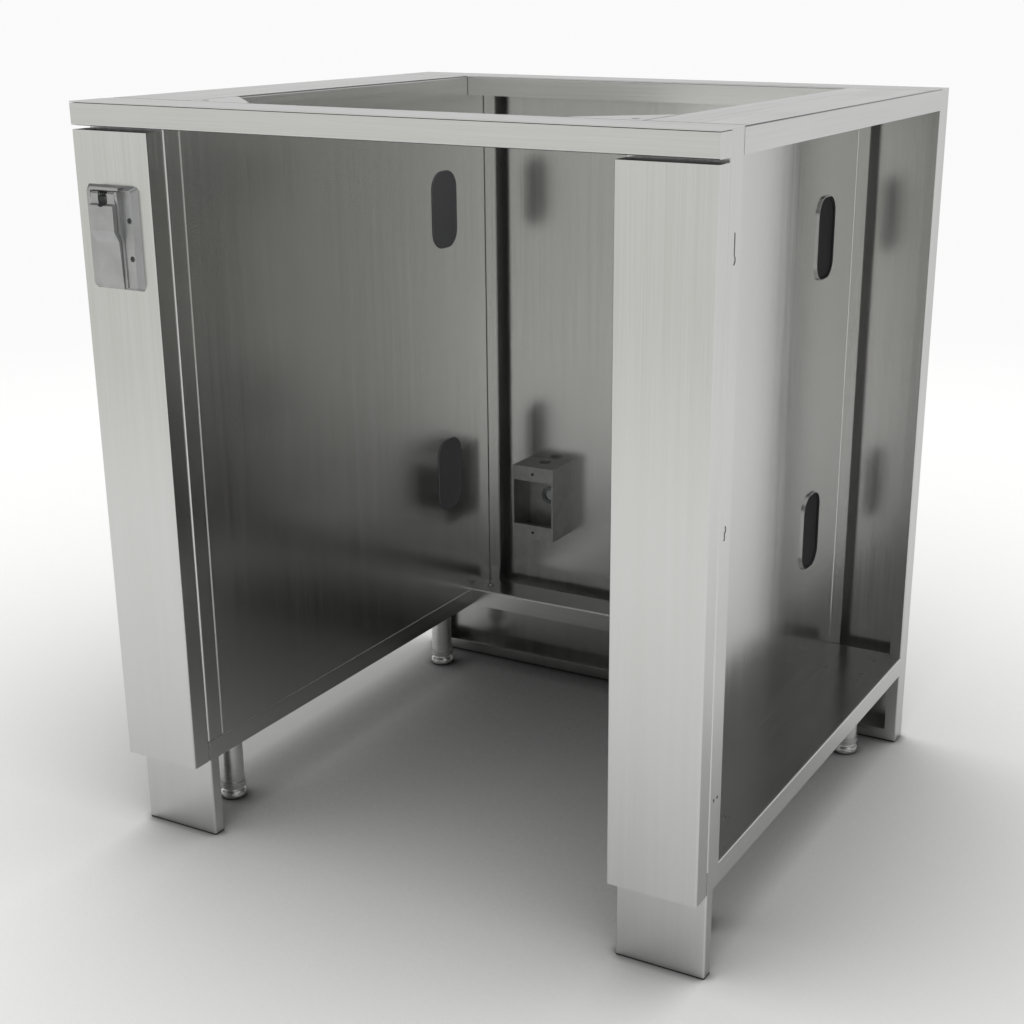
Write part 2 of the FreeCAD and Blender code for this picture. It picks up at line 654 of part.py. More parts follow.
def port_grommets():
    """Two grommets of the right liner: a rim on the bay side, a sleeve in the collar and a closed web."""
    grommets = []
    face = X_LINER - GROMMET_RIM_THICKNESS
    web_back = face + GROMMET_DISH + GROMMET_WEB
    reach = SHEET + PORT_COLLAR - GROMMET_INSET
    bore = -FIT - GROMMET_WALL
    for y, z in port_places():
        sleeve = port(X_LINER, y, z, -FIT, reach)
        rim = port(face, y, z, GROMMET_RIM, GROMMET_RIM_THICKNESS)
        hollows = [port(face - PAST, y, z, bore, PAST + GROMMET_DISH),
                   port(web_back, y, z, bore, reach + PAST)]
        grommets.append(sleeve.fuse(rim).removeSplitter().cut(hollows))
    return grommets


def rear_stile():
    """Right rear stile: a channel open to the bay, one flange behind the liner and one on the back panel."""
    web = X_LINER + REAR_STILE_LAP
    path = [(X_STILE_IN, Y_REAR), (web, Y_REAR), (web, Y_PANEL), (X_STILE_IN + REAR_STILE_SETBACK, Y_PANEL)]
    stile = upright(*folded(path, 1), Z_BASE, Z_UNDER)
    return stile.cut([hole(spot, BACK, SCREW, 3 * SHEET) for spot in back_screw_places()[0] if spot.x > 0])


def back_panel():
    """Full-height back: side returns with in-turned lips, and a hem along the floor."""
    path = [(HALF - BACK_LIP, Y_RETURN), (HALF, Y_RETURN), (HALF, Y_BACK),
            (-HALF, Y_BACK), (-HALF, Y_RETURN), (BACK_LIP - HALF, Y_RETURN)]
    panel = upright(*folded(path, 1), FLOOR_CLEARANCE, Z_TOP)
    inside = HALF - SHEET
    low = FLOOR_CLEARANCE
    panel = panel.fuse([box(-inside, inside, Y_RETURN, Y_PANEL, low, low + SHEET),
                        box(-inside, inside, Y_RETURN, Y_RETURN + SHEET, low, low + BACK_HEM)])
    panel = panel.removeSplitter()
    columns, row = back_screw_places()
    cuts = [box(-inside, inside, Y_RETURN - PAST, Y_PANEL, Z_UNDER, Z_TOP + PAST)]
    cuts += [hole(spot, BACK, SCREW, 2 * SHEET) for spot in columns + row]
    cuts += [hole(spot, BACK * -1, SCREW, JUNCTION_WALL + 2 * SHEET) for spot in junction_screw_places()]
    cuts.append(entry_bore(ENTRY_BORE + 2 * (ENTRY_WALL + FIT)))
    return panel.cut(cuts)


# Legs
def leg(x, y):
    """Leg: a tube welded to a square plate below the deck."""
    low = FOOT_HEIGHT + FIT + PLUG_RING
    high = Z_DECK - SHEET - LEG_PLATE_THICKNESS
    reach = LEG_PLATE / 2
    tube = rod(LEG_DIAMETER, vec(x, y, low), UP, high - low)
    plate = box(x - reach, x + reach, y - reach, y + reach, high, high + LEG_PLATE_THICKNESS)
    bore = rod(LEG_DIAMETER - 2 * LEG_WALL, vec(x, y, low - PAST), UP, high - low + PAST)
    solid = tube.fuse(plate).removeSplitter().cut(bore)
    return solid.cut([hole(spot, UP * -1, LEG_SCREW, 2 * LEG_PLATE_THICKNESS)
                      for spot in leg_screw_places(x, y)])


def leg_plug(x, y):
    """Threaded plug in the end of a leg, with a ring that the tube stands on."""
    low = FOOT_HEIGHT + FIT
    ring = rod(LEG_DIAMETER + 2 * PLUG_RING_LIP, vec(x, y, low), UP, PLUG_RING)
    body = rod(LEG_DIAMETER - 2 * LEG_WALL - 2 * FIT, vec(x, y, low), UP, PLUG_RING + PLUG_LENGTH)
    bore = rod(STEM_DIAMETER + 2 * RUNNING_FIT, vec(x, y, 0), UP, HEIGHT)
    return ring.fuse(body).removeSplitter().cut(bore)


def foot(x, y):
    """Levelling foot: a round pad with a stem that screws into the plug."""
    pad = FOOT_DIAMETER / 2
    stem = STEM_DIAMETER / 2
    neck = pad - FOOT_HEIGHT / 4
    ease = FOOT_HEIGHT / 9
    pairs = [(0, 0), (pad - ease, 0), (pad, ease), (pad, FOOT_HEIGHT / 2), (neck, FOOT_HEIGHT * 0.75),
             (neck, FOOT_HEIGHT), (stem, FOOT_HEIGHT), (stem, FOOT_HEIGHT + STEM_LENGTH),
             (0, FOOT_HEIGHT + STEM_LENGTH)]
    wire = Part.makePolygon([vec(x + r, y, z) for r, z in pairs + pairs[:1]])
    return Part.Face(wire).revolve(vec(x, y, 0), UP, 360)


# Weather cover and outlet
def rounded_block(x, z, width, height, corner, front, back):
    """Block with rounded corners in its outline, from front to back."""
    pairs = [(x - width / 2, z - height / 2), (x + width / 2, z - height / 2),
             (x + width / 2, z + height / 2), (x - width / 2, z + height / 2)]
    return depthwise(pairs, [corner] * len(pairs), front, back)


def rounded_frame(width, height, y):
    """Rounded rectangle of the weather cover's outline at one depth."""
    pairs = [(-width / 2, -height / 2), (width / 2, -height / 2),
             (width / 2, height / 2), (-width / 2, height / 2)]
    points = [vec(COVER_X + x, y, COVER_Z + z) for x, z in pairs]
    return outline(points, [COVER_CORNER] * len(points))


def cover_cheek(start):
    """Cheek beside the lid, from start to the right: a low rib that rises with the lid to the pin."""
    barrel = BARREL_DIAMETER / 2
    low = COVER_Z - LID_BOTTOM
    foot_level = COVER_Z - COVER_HEIGHT / 2 + COVER_BEVEL
    back = COVER_FACE + FIT
    rib = COVER_FACE - CHEEK_FOOT
    wing = COVER_FACE - FIT - LID_EDGE - LID_BULGE + CHEEK_SETBACK
    leaf = HINGE_Y - barrel
    pairs = [(back, foot_level), (rib, foot_level), (rib, low + LID_STEP_LOW), (wing, low + LID_STEP_HIGH),
             (wing, HINGE_Z - LID_BAND), (leaf, HINGE_Z - barrel), (leaf, HINGE_Z + barrel),
             (back, HINGE_Z + barrel)]
    return crosswise(pairs, [0.0] * len(pairs), start, start + CHEEK)


def cover_base():
    """Bevelled plate on the fascia: the outlet's window, two cheeks, a hood and the gasket's pocket."""
    rear = rounded_frame(COVER_WIDTH, COVER_HEIGHT, Y_FRONT)
    front = rounded_frame(COVER_WIDTH - 2 * COVER_BEVEL, COVER_HEIGHT - 2 * COVER_BEVEL, COVER_FACE)
    plate = Part.makeLoft([rear, front], True, True)
    near = LID_WIDTH / 2 + FIT
    reach = near + CHEEK
    barrel_top = HINGE_Z + BARREL_DIAMETER / 2
    hood = box(OUTLET_X - reach, OUTLET_X + reach, COVER_FACE - HOOD_PROUD, Y_FRONT - GASKET,
               barrel_top + HOOD_GAP, barrel_top + HOOD_GAP + HOOD_HEIGHT)
    solid = plate.fuse([cover_cheek(OUTLET_X + near), cover_cheek(OUTLET_X - reach), hood]).removeSplitter()
    window = block(OUTLET_X, COVER_Z, FACE_WIDTH + 2 * FACE_CLEARANCE, FACE_HEIGHT + 2 * FACE_CLEARANCE,
                   COVER_FACE - PAST, Y_FRONT + PAST)
    spring_room = box(OUTLET_X - LID_SLOT / 2, OUTLET_X + LID_SLOT / 2, COVER_FACE - HOOD_PROUD,
                      COVER_FACE + SPRING_POCKET, HINGE_Z - LID_SLOT_DROP + LID_WALL, barrel_top)
    cuts = [window, spring_room, hinge_bore(), gasket_block(FIT, Y_FRONT + PAST)]
    for spot in cover_screw_places():
        cuts.append(hole(spot, BACK * -1, COVER_SCREW, COVER_THICKNESS + PAST))
        cuts.append(rod(COVER_SCREW * HEAD_WIDTH + 2 * FIT, spot, BACK * -1, PAST))
    pocket = YOKE_SCREW * HEAD_RISE + FIT
    cuts += [rod(YOKE_SCREW * HEAD_WIDTH + 2 * FIT, spot, BACK * -1, pocket) for spot in yoke_screw_places()]
    return solid.cut(cuts)


def hinge_bore():
    """Bore of the lid's hinge, through the lid and both cheeks."""
    start = vec(OUTLET_X - LID_WIDTH, HINGE_Y, HINGE_Z)
    return rod(HINGE_PIN + 2 * RUNNING_FIT, start, RIGHT, 2 * LID_WIDTH)


def lid():
    """Lid of the weather cover: a hollow shell, deep above and shallow below, hung on its top barrel."""
    seat = COVER_FACE - FIT
    edge = seat - LID_EDGE
    crown = edge - LID_BULGE
    low = COVER_Z - LID_BOTTOM
    band = HINGE_Z - LID_BAND
    leaf = HINGE_Y - BARREL_DIAMETER / 2
    pairs = [(seat, low), (edge, low), (edge - LID_SLOPE, low + LID_STEP_LOW), (crown, low + LID_STEP_HIGH),
             (crown, band), (leaf, band + LID_BAND_RISE), (leaf, HINGE_Z), (seat, HINGE_Z)]
    radii = [0.0, LID_WALL / 2, LID_STEP_ROUND, LID_STEP_ROUND, LID_BAND_ROUND, LID_BAND_ROUND, 0.0, 0.0]
    left = OUTLET_X - LID_WIDTH / 2
    shell = crosswise(pairs, radii, left, left + LID_WIDTH)
    shell = shell.fuse(rod(BARREL_DIAMETER, vec(left, HINGE_Y, HINGE_Z), RIGHT, LID_WIDTH)).removeSplitter()
    top = HINGE_Z - LID_SLOT_DROP - LID_WALL
    hollow = [(seat + PAST, low + LID_WALL), (edge + LID_WALL, low + LID_WALL),
              (edge - LID_SLOPE + LID_WALL, low + LID_STEP_LOW), (crown + LID_WALL, low + LID_STEP_HIGH),
              (crown + LID_WALL, top), (seat + PAST, top)]
    pocket = crosswise(hollow, [0.0] * len(hollow), left + LID_WALL, left + LID_WIDTH - LID_WALL)
    middle = HINGE_Z - LID_SLOT_DROP + LID_SLOT / 2
    slot = box(OUTLET_X - LID_SLOT / 2, OUTLET_X + LID_SLOT / 2, crown - PAST, COVER_FACE,
               middle, HINGE_Z + BARREL_DIAMETER)
    slot_end = rod(LID_SLOT, vec(OUTLET_X, crown - PAST, middle), BACK, COVER_FACE - crown + PAST)
    return shell.cut([pocket, slot, slot_end, hinge_bore()])


def hinge_pin():
    """Pin through the lid's barrel and both cheeks."""
    reach = LID_WIDTH / 2 + FIT + CHEEK
    return rod(HINGE_PIN, vec(OUTLET_X - reach, HINGE_Y, HINGE_Z), RIGHT, 2 * reach)


def lid_spring():
    """Torsion spring on the pin in the lid's slot, as one sleeve of its outer shape."""
    start = vec(OUTLET_X - SPRING_LENGTH / 2, HINGE_Y, HINGE_Z)
    inner = HINGE_PIN + 2 * RUNNING_FIT
    sleeve = rod(inner + 2 * SPRING_WALL, start, RIGHT, SPRING_LENGTH)
    return sleeve.cut(rod(inner, start, RIGHT, SPRING_LENGTH))


def gasket_block(room, back):
    """Outline of the gasket with room round it, from the gasket's front to back."""
    trim = 2 * (GASKET_INSET - room)
    return rounded_block(COVER_X, COVER_Z, COVER_WIDTH - trim, COVER_HEIGHT - trim, COVER_CORNER,
                         Y_FRONT - GASKET, back)


def cover_gasket():
    """Flat seal in the back of the weather cover, open round the yoke and the outlet's face."""
    openings = ((YOKE_WIDTH, YOKE_HEIGHT), (FACE_WIDTH, FACE_HEIGHT))
    cuts = [block(OUTLET_X, COVER_Z, width + 2 * FIT, height + 2 * FIT, Y_FRONT - PAST, Y_FRONT + PAST)
            for width, height in openings]
    cuts += [hole(spot, BACK * -1, COVER_SCREW, COVER_THICKNESS + GASKET + PAST)
             for spot in cover_screw_places()]
    return gasket_block(0.0, Y_FRONT).cut(cuts)


def outlet_yoke():
    """Strap of the outlet, across the fascia's window."""
    strap = block(OUTLET_X, COVER_Z, YOKE_WIDTH, YOKE_HEIGHT, YOKE_FACE, Y_FRONT)
    cuts = [block(OUTLET_X, COVER_Z, YOKE_WINDOW_WIDTH, YOKE_WINDOW_HEIGHT, YOKE_FACE - PAST, Y_FRONT + PAST)]
    cuts += [hole(spot, BACK * -1, YOKE_SCREW, 2 * YOKE_SHEET) for spot in yoke_screw_places()]
    return strap.cut(cuts)


def socket_levels():
    """Heights of the two sockets of the outlet."""
    return [COVER_Z + side * SOCKET_SPACING / 2 for side in (-1, 1)]


def button_levels():
    """Heights of the test and reset buttons of the outlet."""
    return {"test": COVER_Z + BUTTON_PITCH / 2, "reset": COVER_Z - BUTTON_PITCH / 2}


def outlet_face():
    """Front of the outlet: two sockets with a pair of buttons between them."""
    face = rounded_block(OUTLET_X, COVER_Z, FACE_WIDTH, FACE_HEIGHT, COVER_CORNER, FACE_FRONT, YOKE_FACE)
    cuts = []
    for z in socket_levels():
        for side in (-1, 1):
            cuts.append(block(OUTLET_X + side * BLADE_SPACING / 2, z, BLADE_SLOT_WIDTH, BLADE_SLOT_HEIGHT,
                              FACE_FRONT - PAST, YOKE_FACE + PAST))
        start = vec(OUTLET_X, FACE_FRONT - PAST, z - GROUND_DROP)
        cuts.append(rod(GROUND_HOLE, start, BACK, FACE_THICKNESS + 2 * PAST))
    for z in button_levels().values():
        cuts.append(block(OUTLET_X, z, BUTTON_WIDTH + 2 * FIT, BUTTON_HEIGHT + 2 * FIT,
                          FACE_FRONT - PAST, YOKE_FACE + PAST))
    return face.cut(cuts)


def outlet_button(z):
    """Push button of the outlet."""
    front = FACE_FRONT - BUTTON_PROUD
    corner = BUTTON_HEIGHT / 6
    return rounded_block(OUTLET_X, z, BUTTON_WIDTH, BUTTON_HEIGHT, corner, front, front + BUTTON_DEPTH)


def outlet_body():
    """Moulded body behind the yoke, hollow for the contacts."""
    rear = Y_FRONT + BODY_DEPTH
    shell = block(OUTLET_X, COVER_Z, FACE_WIDTH, FACE_HEIGHT, Y_FRONT, rear)
    return shell.cut(block(OUTLET_X, COVER_Z, FACE_WIDTH - 2 * BODY_WALL, FACE_HEIGHT - 2 * BODY_WALL,
                           Y_FRONT - PAST, rear - BODY_WALL))


def outlet_contacts():
    """Brass leaves behind the blade slots and the ground holes."""
    front = Y_FRONT + CONTACT_RECESS
    rear = Y_FRONT + BODY_DEPTH - BODY_WALL
    leaves = []
    for z in socket_levels():
        for side in (-1, 1):
            x = OUTLET_X + side * (BLADE_SPACING + BLADE_SLOT_WIDTH + CONTACT_SHEET) / 2
            leaves.append(block(x, z, CONTACT_SHEET, BLADE_SLOT_HEIGHT, front, rear))
        low = z - GROUND_DROP - (GROUND_HOLE + CONTACT_SHEET) / 2
        leaves.append(block(OUTLET_X, low, BLADE_SLOT_HEIGHT, CONTACT_SHEET, front, rear))
    return leaves


def device_box():
    """Open box behind the fascia that holds the outlet, with two screw ears and a knockout."""
    front = Y_FRONT + SHEET
    rear = front + DEVICE_BOX_DEPTH
    inner_width = DEVICE_BOX_WIDTH - 2 * DEVICE_BOX_WALL
    inner_height = DEVICE_BOX_HEIGHT - 2 * DEVICE_BOX_WALL
    shell = block(OUTLET_X, COVER_Z, DEVICE_BOX_WIDTH, DEVICE_BOX_HEIGHT, front, rear)
    shell = shell.cut(block(OUTLET_X, COVER_Z, inner_width, inner_height,
                            front - PAST, rear - DEVICE_BOX_WALL))
    ears = []
    for spot in yoke_screw_places():
        outward = 1 if spot.z > COVER_Z else -1
        wall = COVER_Z + outward * DEVICE_BOX_HEIGHT / 2
        ear_end = spot.z - outward * DEVICE_BOX_EAR / 2
        ears.append(box(OUTLET_X - DEVICE_BOX_EAR / 2, OUTLET_X + DEVICE_BOX_EAR / 2,
                        front, front + DEVICE_BOX_EAR, min(wall, ear_end), max(wall, ear_end)))
    shell = shell.fuse(ears).removeSplitter()
    cuts = [hole(spot, BACK * -1, YOKE_SCREW, YOKE_SHEET + SHEET + DEVICE_BOX_EAR + PAST)
            for spot in yoke_screw_places()]
    cuts.append(rod(KNOCKOUT, vec(OUTLET_X, rear - PAST, COVER_Z), BACK, 2 * PAST))
    return shell.cut(cuts)


# Junction box
def entry_bore(diameter):
    """Cable entry through the back of the junction box and the back panel."""
    front = Y_PANEL - JUNCTION_WALL - ENTRY_RIM_HEIGHT - PAST
    start = vec(JUNCTION_X + ENTRY_OFFSET, front, JUNCTION_Z + ENTRY_RISE)
    return rod(diameter, start, BACK, ENTRY_RIM_HEIGHT + JUNCTION_WALL + SHEET + 2 * PAST)


def junction_box():
    """Cast box on the back panel: an open front between two screw ears, and a conduit hole on top."""
    body = rounded_block(JUNCTION_X, JUNCTION_Z, JUNCTION_WIDTH, JUNCTION_HEIGHT, JUNCTION_CORNER,
                         JUNCTION_FRONT, Y_PANEL)
    inner_width = JUNCTION_WIDTH - 2 * JUNCTION_WALL
    inner_height = JUNCTION_HEIGHT - 2 * JUNCTION_WALL
    rear = Y_PANEL - JUNCTION_WALL
    cuts = [block(JUNCTION_X, JUNCTION_Z, inner_width, JUNCTION_HEIGHT - 2 * JUNCTION_EAR,
                  JUNCTION_FRONT - PAST, rear),
            block(JUNCTION_X, JUNCTION_Z, inner_width, inner_height,
                  JUNCTION_FRONT + JUNCTION_EAR_DEPTH, rear)]
    ear_level = (JUNCTION_HEIGHT - JUNCTION_EAR) / 2
    for side in (-1, 1):
        start = vec(JUNCTION_X, JUNCTION_FRONT - PAST, JUNCTION_Z + side * ear_level)
        cuts.append(rod(JUNCTION_COVER_HOLE, start, BACK, JUNCTION_EAR_DEPTH + 2 * PAST))
    conduit = vec(JUNCTION_X + CONDUIT_OFFSET, Y_PANEL - CONDUIT_SETBACK,
                  JUNCTION_Z + inner_height / 2 - PAST)
    cuts.append(rod(CONDUIT_HOLE, conduit, UP, JUNCTION_WALL + 2 * PAST))
    cuts += [hole(spot, BACK * -1, SCREW, 2 * JUNCTION_WALL) for spot in junction_screw_places()]
    cuts.append(entry_bore(ENTRY_BORE + 2 * (ENTRY_WALL + FIT)))
    return body.cut(cuts)


def entry_bushing():
    """Bushing of the cable entry: a ring inside the junction box and a sleeve through the back panel."""
    x = JUNCTION_X + ENTRY_OFFSET
    z = JUNCTION_Z + ENTRY_RISE
    seat = Y_PANEL - JUNCTION_WALL
    sleeve = rod(ENTRY_BORE + 2 * ENTRY_WALL, vec(x, seat, z), BACK, JUNCTION_WALL + SHEET)
    rim = ENTRY_BORE + 2 * (ENTRY_WALL + ENTRY_RIM)
    ring = rod(rim, vec(x, seat - ENTRY_RIM_HEIGHT, z), BACK, ENTRY_RIM_HEIGHT)
    return ring.fuse(sleeve).removeSplitter().cut(entry_bore(ENTRY_BORE))


# Screw groups
def screws(places, out, diameter, grip):
    """Identical screws, one at each place."""
    return [screw(spot, out, diameter, grip) for spot in places]


def fascia_screws():
    """Screws that hold both fascias on their stiles."""
    right = screws(fascia_screw_places(), BACK, SCREW, 2 * SHEET)
    return right + [mirrored(solid) for solid in right]


def toe_kick_screws():
    """Screws that hold both toe kicks below the base."""
    right = screws(toe_screw_places(), UP * -1, SCREW, 2 * SHEET)
    return right + [mirrored(solid) for solid in right]


def gusset_screws():
    """Screws that hold both corner gussets to the rails."""
    right = [screw(spot, out, SCREW, 2 * SHEET) for spot, out in gusset_screw_places()]
    return right + [mirrored(solid) for solid in right]


def leg_screws():
    """Screws that hold the four legs below the deck."""
    solids = []
    for x, y in LEG_PLACES.values():
        solids += screws(leg_screw_places(x, y), UP * -1, LEG_SCREW, LEG_PLATE_THICKNESS + SHEET)
    return solids


def build():
    """Every piece of the cabinet, by name."""
    columns, row = back_screw_places()
    pieces = {
        "top_front_rail": top_front_rail(),
        "top_rear_rail": top_rear_rail(),
        "front_apron": front_apron(),
        "rear_base_rail": rear_base_rail(),
        "back_panel": back_panel(),
        "left_front_stile": left_front_stile(),
        "right_front_stile": front_stile(),
        "left_fascia": left_fascia(),
        "right_fascia": fascia(),
    }
    paired = {
        "top_{}_rail": top_side_rail(),
        "{}_corner_gusset": corner_gusset(),
        "{}_toe_kick": toe_kick(),
        "{}_base_pan": base_pan(),
        "{}_liner": liner(),
        "{}_rear_stile": rear_stile(),
    }
    for name, shape in paired.items():
        pieces[name.format("right")] = shape
        pieces[name.format("left")] = mirrored(shape)
    grommets = port_grommets()
    pieces["right_port_grommets"] = group(grommets)
    pieces["left_port_grommets"] = group([mirrored(grommet) for grommet in grommets])
    for corner, (x, y) in LEG_PLACES.items():
        pieces["leg_" + corner] = leg(x, y)
        pieces["foot_" + corner] = foot(x, y)
    pieces["leg_plugs"] = group([leg_plug(x, y) for x, y in LEG_PLACES.values()])
    pieces["outlet_cover"] = cover_base()
    pieces["outlet_lid"] = lid()
    pieces["outlet_hinge_pin"] = hinge_pin()
    pieces["outlet_lid_spring"] = lid_spring()
    pieces["outlet_gasket"] = cover_gasket()
    pieces["outlet_yoke"] = outlet_yoke()
    pieces["outlet_face"] = outlet_face()
    pieces["outlet_body"] = outlet_body()
    pieces["outlet_contacts"] = group(outlet_contacts())
    pieces["outlet_device_box"] = device_box()
    for name, z in button_levels().items():
        pieces["outlet_{}_button".format(name)] = outlet_button(z)
    pieces["junction_box"] = junction_box()
    pieces["junction_box_bushing"] = entry_bushing()
    pieces["fascia_screws"] = group(fascia_screws())
    pieces["toe_kick_screws"] = group(toe_kick_screws())
    pieces["gusset_screws"] = group(gusset_screws())
    pieces["leg_screws"] = group(leg_screws())
    pieces["back_panel_screws"] = group(screws(columns + row, BACK, SCREW, 2 * SHEET))
    pieces["base_rail_screws"] = group(screws(base_rail_screw_places(), UP, SCREW, 2 * SHEET))
    pieces["outlet_cover_screws"] = group(
        screws(cover_screw_places(), BACK * -1, COVER_SCREW,
               COVER_THICKNESS + GASKET + SHEET - COVER_SCREW * HEAD_RISE))
    pieces["outlet_yoke_screws"] = group(
        screws(yoke_screw_places(), BACK * -1, YOKE_SCREW, YOKE_SHEET + SHEET + DEVICE_BOX_EAR))
    pieces["junction_box_screws"] = group(
        screws(junction_screw_places(), BACK * -1, SCREW, JUNCTION_WALL + SHEET))
    return pieces


os.makedirs("parts", exist_ok=True)
for node, shape in build().items():
    shape.exportStep("parts/" + node + ".step")
    print(node, "solids", len(shape.Solids), "volume", round(shape.Volume), "valid", shape.isValid())
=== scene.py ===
import logging
import math
from dataclasses import dataclass
from enum import Enum

import bmesh
import bpy
import numpy as np
from mathutils import Matrix, Vector


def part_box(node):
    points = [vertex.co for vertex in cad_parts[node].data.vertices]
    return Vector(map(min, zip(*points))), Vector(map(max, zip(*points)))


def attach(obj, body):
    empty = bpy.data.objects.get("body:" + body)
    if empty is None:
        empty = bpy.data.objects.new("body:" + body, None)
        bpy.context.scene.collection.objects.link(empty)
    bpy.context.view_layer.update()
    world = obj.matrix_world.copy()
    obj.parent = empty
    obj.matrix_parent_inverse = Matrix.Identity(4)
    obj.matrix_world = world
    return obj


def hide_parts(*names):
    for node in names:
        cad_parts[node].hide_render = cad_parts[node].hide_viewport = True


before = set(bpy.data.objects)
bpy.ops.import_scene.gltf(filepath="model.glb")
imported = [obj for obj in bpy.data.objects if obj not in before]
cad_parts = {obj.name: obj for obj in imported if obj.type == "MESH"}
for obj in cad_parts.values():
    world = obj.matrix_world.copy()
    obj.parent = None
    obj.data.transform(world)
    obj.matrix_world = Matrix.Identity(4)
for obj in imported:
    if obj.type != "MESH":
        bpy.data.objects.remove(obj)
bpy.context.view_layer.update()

LOG = logging.getLogger("outdoor_cabinet")
MM = 0.001
TURN = 2.0 * math.pi
SAME_PLACE = 1e-6
SHARP_EDGE = math.radians(32.0)
WHITE = (1.0, 1.0, 1.0, 1.0)
# Sockets of the colour mix, which share their names with those of other kinds of mix
MIX_A, MIX_B, MIXED = 6, 7, 2
Array = np.ndarray
Key = str | int


class Grain(Enum):
    """Direction of the brushed lines of a sheet, as the number of its axis."""

    ACROSS = 0
    DEPTH = 1
    UPRIGHT = 2


class Side(Enum):
    """Side of the cabinet, with the sign of its X."""

    LEFT = -1
    RIGHT = 1


class Corner(Enum):
    """Corner of the cabinet that stands on a leg, by the ending of its nodes' names."""

    FRONT_LEFT = "front_left"
    FRONT_RIGHT = "front_right"
    REAR_LEFT = "rear_left"
    REAR_RIGHT = "rear_right"


# Materials
def linear(code: str) -> tuple[float, float, float, float]:
    """Linear colour of an sRGB hex value, by the standard sRGB curve.

    Args:
        code: colour such as "#C4C5BF".

    Returns:
        Red, green, blue and an alpha of 1.
    """
    parts = np.array([int(code[start:start + 2], 16) for start in (1, 3, 5)]) / 255.0
    rgb = np.where(parts <= 0.04045, parts / 12.92, ((parts + 0.055) / 1.055) ** 2.4)
    return (float(rgb[0]), float(rgb[1]), float(rgb[2]), 1.0)


def add(tree: bpy.types.NodeTree, kind: str, settings: dict[Key, object] | None = None,
        links: dict[Key, bpy.types.NodeSocket] | None = None) -> bpy.types.Node:
    """Adds one node with its settings and links.

    Args:
        tree: node tree that gets the node.
        kind: Blender's name of the kind of node.
        settings: values of the node's own properties, or of its sockets by name or number.
        links: outputs of other nodes, by the name or number of the socket that they go to.

    Returns:
        The new node.
    """
    node = tree.nodes.new(kind)
    for key, value in (settings or {}).items():
        if isinstance(key, str) and hasattr(node, key):
            setattr(node, key, value)
        else:
            node.inputs[key].default_value = value
    for key, source in (links or {}).items():
        tree.links.new(source, node.inputs[key])
    return node


@dataclass(frozen=True)
class Layer:
    """One pattern of a surface: noise whose cells have a real size along X, Y and Z, and its share."""

    cell_mm: tuple[float, float, float]
    share: float
    detail: float = 2.0


@dataclass(frozen=True)
class PaintedBayLight:
    """Painted light on the side of a piece that faces the bay: a paler colour that stands in for the light
    there, while the other side keeps its darker colour as if in shade; its colour, and where it is whole and
    where gone.

    Both places are distances from the middle plane of the cabinet.
    """

    colour: str
    whole_mm: float
    gone_mm: float


